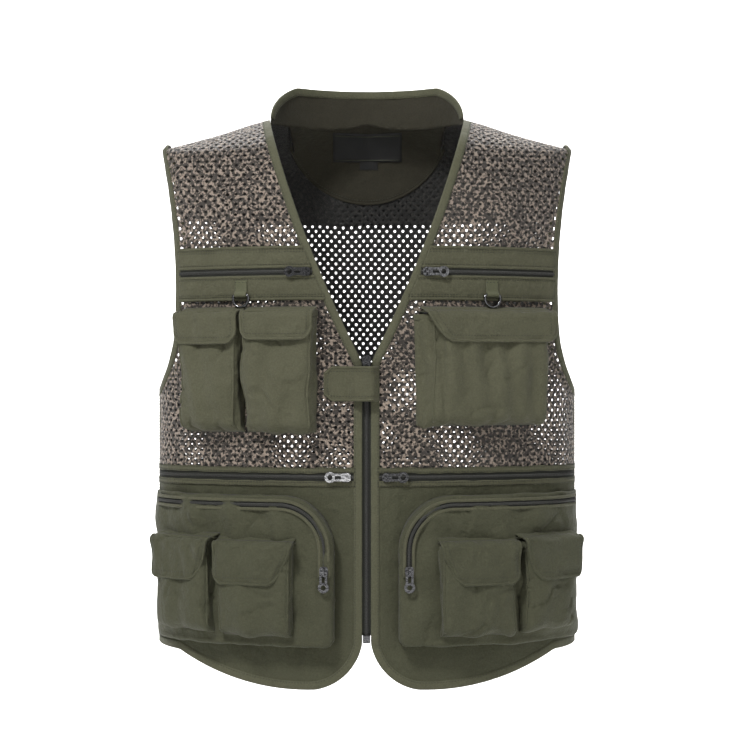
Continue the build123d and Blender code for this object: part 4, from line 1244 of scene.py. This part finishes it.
def settle(jobs):
    # one simulation of every job, with each point's move held under a cap
    verts = np.vstack([j["verts"] for j in jobs]) * 0.001
    faces, start = [], 0
    for j in jobs:
        faces += [tuple(i + start for i in f) for f in j["faces"]]
        start += len(j["verts"])
    mesh = bpy.data.meshes.new("settling")
    mesh.from_pydata(verts.tolist(), [], faces)
    obj = bpy.data.objects.new("settling", mesh)
    scene.collection.objects.link(obj)
    pins = np.concatenate([j["pins"] for j in jobs])
    group = obj.vertex_groups.new(name="sewn")
    for value in np.unique(pins):
        if value > 0:
            group.add([int(i) for i in np.nonzero(pins == value)[0]], float(value), "REPLACE")
    mod = obj.modifiers.new("Cloth", "CLOTH")
    s = mod.settings
    s.quality, s.mass = clothRun["quality"], clothRun["mass"]
    s.tension_stiffness = s.compression_stiffness = clothRun["tension"]
    s.shear_stiffness, s.bending_stiffness = clothRun["shear"], clothRun["bending"]
    s.air_damping = clothRun["damping"]
    s.vertex_group_mass = "sewn"
    s.pin_stiffness = 1.0
    s.use_pressure, s.uniform_pressure_force = True, clothRun["pressure"]
    s.shrink_min = clothRun["shrink"]
    s.effector_weights.gravity = clothRun["gravity"]
    mod.collision_settings.use_collision = False
    mod.collision_settings.use_self_collision = False
    mod.point_cache.frame_start, mod.point_cache.frame_end = 1, clothRun["frames"]
    for f in range(1, clothRun["frames"] + 1):
        scene.frame_set(f)
    result = obj.evaluated_get(bpy.context.evaluated_depsgraph_get())
    co = np.zeros(len(verts) * 3)
    result.data.vertices.foreach_get("co", co)
    co = co.reshape(-1, 3)
    move = co - verts
    size = np.linalg.norm(move, axis=1, keepdims=True) * 1000
    print("cloth settled, moved", round(float(size.mean()), 2), "mm on average, most", round(float(size.max()), 2))
    cap = clothRun["cap"]
    move *= np.where(size > 1e-6, cap * np.tanh(size / cap) / np.maximum(size, 1e-6), 0)
    bpy.data.objects.remove(obj)
    scene.frame_set(1)
    start = 0
    for j in jobs:
        n = len(j["verts"])
        j["verts"] = (verts[start:start + n] + move[start:start + n]) * 1000
        start += n


settle(clothJobs)


def fold(job, seed, height, crease, size, tall=0.4):
    # soft folds that run mostly up and down, and a few narrow creases, on what isn't sewn
    shape = job["shape"]
    points = shape[0] * shape[1]
    net = job["verts"][:points].reshape(*shape, 3)
    face = np.cross(np.gradient(net, axis=1), np.gradient(net, axis=0))
    face /= np.maximum(np.linalg.norm(face, axis=2, keepdims=True), 1e-9)
    out = net - [0.0, 120.0, 0.0]
    face *= np.where((face * out).sum(2)[..., None] < 0, -1, 1)
    u, v = np.moveaxis(job["uv"][:points].reshape(*shape, 2), -1, 0)
    free = smooth(1 - job["pins"][:points].reshape(shape) * 1.1)
    soft = ripple(u, v * tall, size, seed, 6)
    lines = np.exp(-(ripple(u * 0.8, v, size * 1.1, seed + 9, 5) / 0.16) ** 2)
    lines = lines * smooth(ripple(u, v, size * 1.6, seed + 17) + 0.4)
    tiny = ripple(u, v, 9.0, seed + 30, 6) * 0.10
    net = net + face * ((soft * height - lines * crease + tiny) * free)[..., None]
    job["verts"] = np.vstack([net.reshape(-1, 3), job["verts"][points:]])


jobOf = {(j["kind"], j["name"]): j for j in clothJobs}
for number, ((kind, name), job) in enumerate(sorted(jobOf.items())):
    if kind == "pouch":
        height = pouchShape["cargoFold"] if "cargo" in name else pouchShape["fold"]
        fold(job, 100 + number, height, pouchShape["crease"], 34.0)
    elif kind == "flap":
        fold(job, 200 + number, 0.9, 0.7, 26.0, 0.8)
    else:
        fold(job, 300 + number, 2.0, 2.4, 42.0, 0.9)
for name, plan in pouchPlans.items():
    place, radius = placeOf[name]
    sign = plan["sign"]
    look = cloths["olive"] if plan["where"] == "chest" else cloths["oliveDark"]
    job = jobOf["pouch", name]
    bag = Part().add(job["verts"], job["faces"], job["uv"])
    rows, cols = job["shape"]
    net = job["verts"].reshape(rows, cols, 3)
    top = net[-1]
    outward = top - net[-1].mean(0)
    nrm = np.gradient(top, axis=0)
    nrm = np.cross(nrm, [0, 0, 1.0]) * sign
    nrm /= np.maximum(np.linalg.norm(nrm, axis=1, keepdims=True), 1e-9)
    sweepStrip(bag, top, nrm, roundStrip(-5.0, 0.6, -0.9, 0.9, 0.6))
    for column in (int(cols * (plan["depth"] * 0.9) / ((plan["front"][1] - plan["front"][0]) + 2 * plan["depth"])) + 1,):
        for c in (column, cols - 1 - column):  # stitched corner edges
            line = net[4:-1, c]
            across = np.gradient(net, axis=1)[4:-1, c]
            ln = np.cross(across, np.gradient(line, axis=0)) * -sign
            ln /= np.maximum(np.linalg.norm(ln, axis=1, keepdims=True), 1e-9)
            ln *= np.where((ln[:, 1:2] > 0), -1, 1)
            sweepStrip(bag, line, ln, roundStrip(-0.8, 0.8, -0.3, 1.1, 0.5))
    # sewn edge that the flap hangs from, along the seam above the pouch
    left, right = plan["flap"]
    seam, fold = plan["high"] + 6.0, plan["fold"]
    xs = np.linspace(left, right, 30)
    baseOut = 0.9 if plan["where"] == "chest" else 0.1
    rim = []
    for lzShare, y in ((0, seam - 2.6), (0.9, seam - 1.9), (1.0, seam - 1.0), (0.9, seam - 0.2), (0.35, seam + 1.6), (0, seam + 3.0)):
        root = sagAt(xs, radius, baseOut)
        rim.append(place(xs, y, root + (fold - 0.5 - root) * lzShare))
    rim = np.array(rim)
    bag.add(rim, grid(6, 30), np.stack(np.broadcast_arrays(xs[None], np.arange(6)[:, None] * 2.0), -1))
    bag = bag.build("pouch_" + name, [look], 1.0)
    finishPiece(bag, "vest", "olive", name + "_pouch")

    job = jobOf["flap", name]
    rows, cols = job["shape"]
    net = job["verts"].reshape(rows, cols, 3)
    lid = Part().add(job["verts"], job["faces"], job["uv"])
    edge = np.vstack([net[3:, 0], net[-1, 1:-1], net[3:, -1][::-1]])
    acrossU = np.gradient(net, axis=1)
    acrossV = np.gradient(net, axis=0)
    face = np.cross(acrossU, acrossV)
    face /= np.maximum(np.linalg.norm(face, axis=2, keepdims=True), 1e-9)
    place0 = place(0, 0, 1) - place(0, 0, 0)
    face *= np.where((face @ place0)[..., None] < 0, -1, 1)
    edgeN = np.vstack([face[3:, 0], face[-1, 1:-1], face[3:, -1][::-1]])
    edge2 = even(np.hstack([edge, edgeN]), 2.2)
    edgeN2 = edge2[:, 3:] / np.linalg.norm(edge2[:, 3:], axis=1, keepdims=True)
    sweepStrip(lid, edge2[:, :3], edgeN2, roundStrip(-1.0, 1.0, -1.0, 1.0, 0.75))
    inner = []
    for r in range(3, rows - 3):
        inner.append((net[r, 3], face[r, 3]))
    for c in range(3, cols - 3):
        inner.append((net[rows - 4, c], face[rows - 4, c]))
    for r in range(rows - 4, 2, -1):
        inner.append((net[r, cols - 4], face[r, cols - 4]))
    sew(name + "_flap", np.array([a for a, _ in inner]), np.array([b for _, b in inner]), 0.72)
    lid = lid.build("flap_" + name, [look], 1.3)
    finishPiece(lid, name + "_flap", "olive", name + "_flap")
    spread = ((plan["flap"][1] - plan["flap"][0]) / 1000, (plan["drop"] + plan["depth"] - plan["fold"] + 6) / 1000)
print("pouches and flaps made")

# cargo pocket shells, their zips and fabric rolls
for word, sign in (("left", 1), ("right", -1)):
    job = jobOf["cargo", word]
    shell = Part().add(job["verts"], job["faces"], job["uv"])
    shell = shell.build("cargoPocket_" + word, [cloths["oliveDark"]], 1.2)
    finishPiece(shell, "vest", "olive", "cargo_pocket_" + word)


def cargoStrip(inset):
    pp, a, b = cargoStart + inset, cargoSize["top"] - inset, cargoSize["corner"] - inset
    line = np.vstack([
        [(pp, cargoSize["zipEnd"]), (pp, cargoSize["top"] - cargoSize["corner"])],
        arc3((pp, cargoSize["top"] - cargoSize["corner"]),
             (pp + b * 0.2929, a - b * 0.2929), (pp + b, a), 24)[1:], [(cargoEnd - 26, a)]])
    return even(line, 2.5)


cargoTape = Part()
for sign in (1, -1):
    line = cargoStrip(cargoSize["inset"])
    pts, nrm = onCargo(line[:, 0], line[:, 1], 0.0)
    pts, nrm = pts * [sign, 1, 1], nrm * [sign, 1, 1]
    sweepStrip(cargoTape, pts, nrm, roundStrip(-4, 4, -0.4, 0.8, 0.35))
    sweepStrip(cargoTape, pts, nrm, roundStrip(-1.4, 1.4, 0.7, 1.4, 0.25), slot=1)
    sew("vest", pts, nrm, 1.5, book=teeth)
    for inset in (cargoSize["inset"] - 4.4, cargoSize["inset"] + 4.6):
        line = cargoStrip(inset)
        pts, nrm = onCargo(line[:, 0], line[:, 1], 0.0)
        pts, nrm = pts * [sign, 1, 1], nrm * [sign, 1, 1]
        sweepStrip(cargoTape, pts, nrm, roundStrip(-1.7, 1.7, -0.6, 2.2, 1.0), slot=2)
finishPiece(cargoTape.build("cargoZips", [tapeLook, coilLook, cloths["olive"]]), "vest", "zip_tape", "cargo_zips")
print("cargo pockets made")

# closing tab and webbing tabs
tabSize = {"hinge": 12.0, "reach": 54.0, "half": 16.5, "point": 8.0, "level": -282.0, "rise": 9.3, "low": 3.5}
xs = np.linspace(tabSize["hinge"], tabSize["hinge"] - tabSize["reach"], 56)
profile = np.interp(-xs, [-12, -10, -7.5, 11, 18, 42], [3.5, 3.5, 10.1, 10.1, 3.5, 3.5])
for _ in range(6):
    profile[1:-1] = (profile[:-2] + profile[1:-1] * 2 + profile[2:]) / 4
v = np.linspace(-1, 1, 27)[:, None]
taper = np.clip((xs - (12 - tabSize["reach"])) / tabSize["point"], 0, 1)
half = tabSize["half"] - 5.5 * (1 - smooth(taper))
tabZ = tabSize["level"] + v * half[None]
tabOut = profile[None] + 0.25 * ripple(xs[None] + 0 * v, tabZ, 18, 71)
tabX = np.broadcast_to(xs, tabZ.shape)
cxs = np.sqrt(np.maximum(frontRadius ** 2 - tabX ** 2, 0))
tabN = np.stack([tabX / frontRadius, -cxs / frontRadius, 0 * tabX], -1)
tabP = np.array([0, frontY, 0]) + tabN * (frontRadius + tabOut)[..., None]
tabP[..., 2] = tabZ
tab = Part().add(tabP, grid(27, 56), np.stack([tabX, tabZ], -1))
edge = np.vstack([tabP[0], tabP[1:-1, -1], tabP[-1][::-1]])
edgeN = np.vstack([tabN[0], tabN[1:-1, -1], tabN[-1][::-1]])
edge = even(np.hstack([edge, edgeN]), 2.0)
sweepStrip(tab, edge[:, :3], edge[:, 3:], roundStrip(-0.8, 0.8, -1.0, 1.0, 0.7))
ring = np.vstack([tabP[3, 3:-3], tabP[3:-3, -4], tabP[-4, 3:-3][::-1], tabP[3:-3, 3][::-1]])
ringN = np.vstack([tabN[3, 3:-3], tabN[3:-3, -4], tabN[-4, 3:-3][::-1], tabN[3:-3, 3][::-1]])
sew("closing_tab", ring, ringN, 0.95)
tab = tab.build("closingTab", [cloths["olive"]], 1.5)
finishPiece(tab, "closing_tab", "olive", "closing_tab")

webs = Part()
for sign in (1, -1):
    place = frameAt(128.0, frontRadius, frontCentre, sign)
    ringOut, hole = 5.05, 1.65 + 0.45
    angle = np.radians(np.linspace(-90, 180, 16))
    loopLine = [(2.6, 15.0), (2.6, 3.5)]
    loopLine += [(ringOut + hole * math.cos(a), -hole * math.sin(a) * 1.0) for a in np.radians(np.linspace(200, -70, 16))]
    loopLine += [(4.4, 4.0), (3.9, 15.0)]
    loopLine = resample(np.array(loopLine), 44)
    xs = np.linspace(-6.7, 6.7, 12)
    verts = np.array([place(xs, -190.5 + b, np.full(12, a)) for a, b in loopLine])
    webs.add(verts, grid(44, 12), np.stack(np.broadcast_arrays(xs[None], np.arange(44)[:, None] * 1.0), -1))
    for level in (-177.5, -183.5):
        pts = place(np.linspace(-6, 6, 8), np.full(8, level), np.full(8, 4.4))
        sew("vest", pts, np.tile(place(0, 0, 1) - place(0, 0, 0), (8, 1)), 0.1)
webs = webs.build("webbingTabs", [cloths["webbing"]], 0.9)
finishPiece(webs, "vest", "webbing", "d_ring_tabs")

# metal keeps its CAD shape
for name, obj in nodes.items():
    if name.endswith(("_slider", "_pull")) or name.startswith("d_ring_left") or name.startswith("d_ring_right"):
        bright = "right" in name and "waist" in name
        obj.data.materials.clear()
        obj.data.materials.append(nickelLook if bright else gunLook)
    if name in ("main_zip_box",):
        obj.data.materials.clear()
        obj.data.materials.append(gunLook)
    if name == "loop_patches":
        obj.data.materials.clear()
        obj.data.materials.append(pileLook)

for bodyName, paths in sewing.items():
    piece = runTree(stitchTree, guide(paths, "sewingGuide"), {**stitchSize, "Material": threadLook}, "stitches_" + bodyName)
    finishPiece(piece, bodyName, "binding")
for bodyName, paths in teeth.items():
    piece = runTree(coilTree, guide(paths, "coilGuide"), {**coilSize, "Material": coilLook}, "zipTeeth_" + bodyName)
    finishPiece(piece, bodyName, "zip_tape")
print("stitches and teeth made")

# floor, light and camera
stageSize = {"floor": -0.72, "half": 3.4, "back": 2.6, "front": -3.6, "rise": 4.4, "bend": 1.2}
profile = [(stageSize["front"], 0.0), (stageSize["back"] - stageSize["bend"], 0.0)]
profile += [(stageSize["back"] - stageSize["bend"] + stageSize["bend"] * math.sin(a),
             stageSize["bend"] * (1 - math.cos(a))) for a in np.linspace(0.1, math.pi / 2, 14)]
profile += [(stageSize["back"], stageSize["rise"])]
sweep = np.array([[(x * 1000, y * 1000, (z + stageSize["floor"]) * 1000) for x in np.linspace(-stageSize["half"], stageSize["half"], 9)]
                  for y, z in profile])
floorLook = plainMaterial("paleFloor", (0.93, 0.93, 0.92), 0.9, grain=40.0, depth=0.00005, wear=0.01, spec=0.1)
floor = Part().add(sweep, grid(len(profile), 9)).build("floor", [floorLook], recalc=False)

world = bpy.data.worlds.new("studio")
scene.world = world
world.use_nodes = True
sky = world.node_tree.nodes
direction = sky.new("ShaderNodeTexCoord")
parts = sky.new("ShaderNodeSeparateXYZ")
ramp = sky.new("ShaderNodeValToRGB")
for stop, (place, grey) in zip(ramp.color_ramp.elements, ((0.25, 0.05), (0.95, 1.0))):
    stop.position, stop.color = place, (grey, grey, grey, 1)
shift = sky.new("ShaderNodeMath")
shift.operation = "MULTIPLY_ADD"
shift.inputs[1].default_value, shift.inputs[2].default_value = 0.5, 0.5
world.node_tree.links.new(direction.outputs["Generated"], parts.inputs[0])
world.node_tree.links.new(parts.outputs[2], shift.inputs[0])
world.node_tree.links.new(shift.outputs[0], ramp.inputs[0])
world.node_tree.links.new(ramp.outputs[0], sky["Background"].inputs[0])
sky["Background"].inputs[1].default_value = 0.55


def areaLight(name, place, target, size, power):
    light = bpy.data.lights.new(name, "AREA")
    light.shape, light.size, light.energy = "DISK", size, power
    obj = bpy.data.objects.new(name, light)
    scene.collection.objects.link(obj)
    obj.location = place
    obj.rotation_euler = (Vector(target) - Vector(place)).to_track_quat("-Z", "Y").to_euler()


areaLight("keyLight", (-0.9, -1.7, 1.6), (0, 0, -0.25), 0.5, 62)
areaLight("fillLight", (1.6, -2.0, 0.3), (0, 0, -0.3), 1.4, 9)
areaLight("backLight", (0.0, 1.2, 1.4), (0, 2.4, -0.4), 1.8, 110)
cameraSize = {"place": (0.0086, -2.2, -0.273), "lens": 97.8}
camera = bpy.data.objects.new("camera", bpy.data.cameras.new("camera"))
scene.collection.objects.link(camera)
camera.location = cameraSize["place"]
camera.rotation_euler = (math.pi / 2, 0, 0)
camera.data.lens, camera.data.sensor_width = cameraSize["lens"], 36
camera.data.clip_end = 50
scene.camera = camera
scene.view_settings.view_transform = "Standard"

bpy.context.view_layer.update()
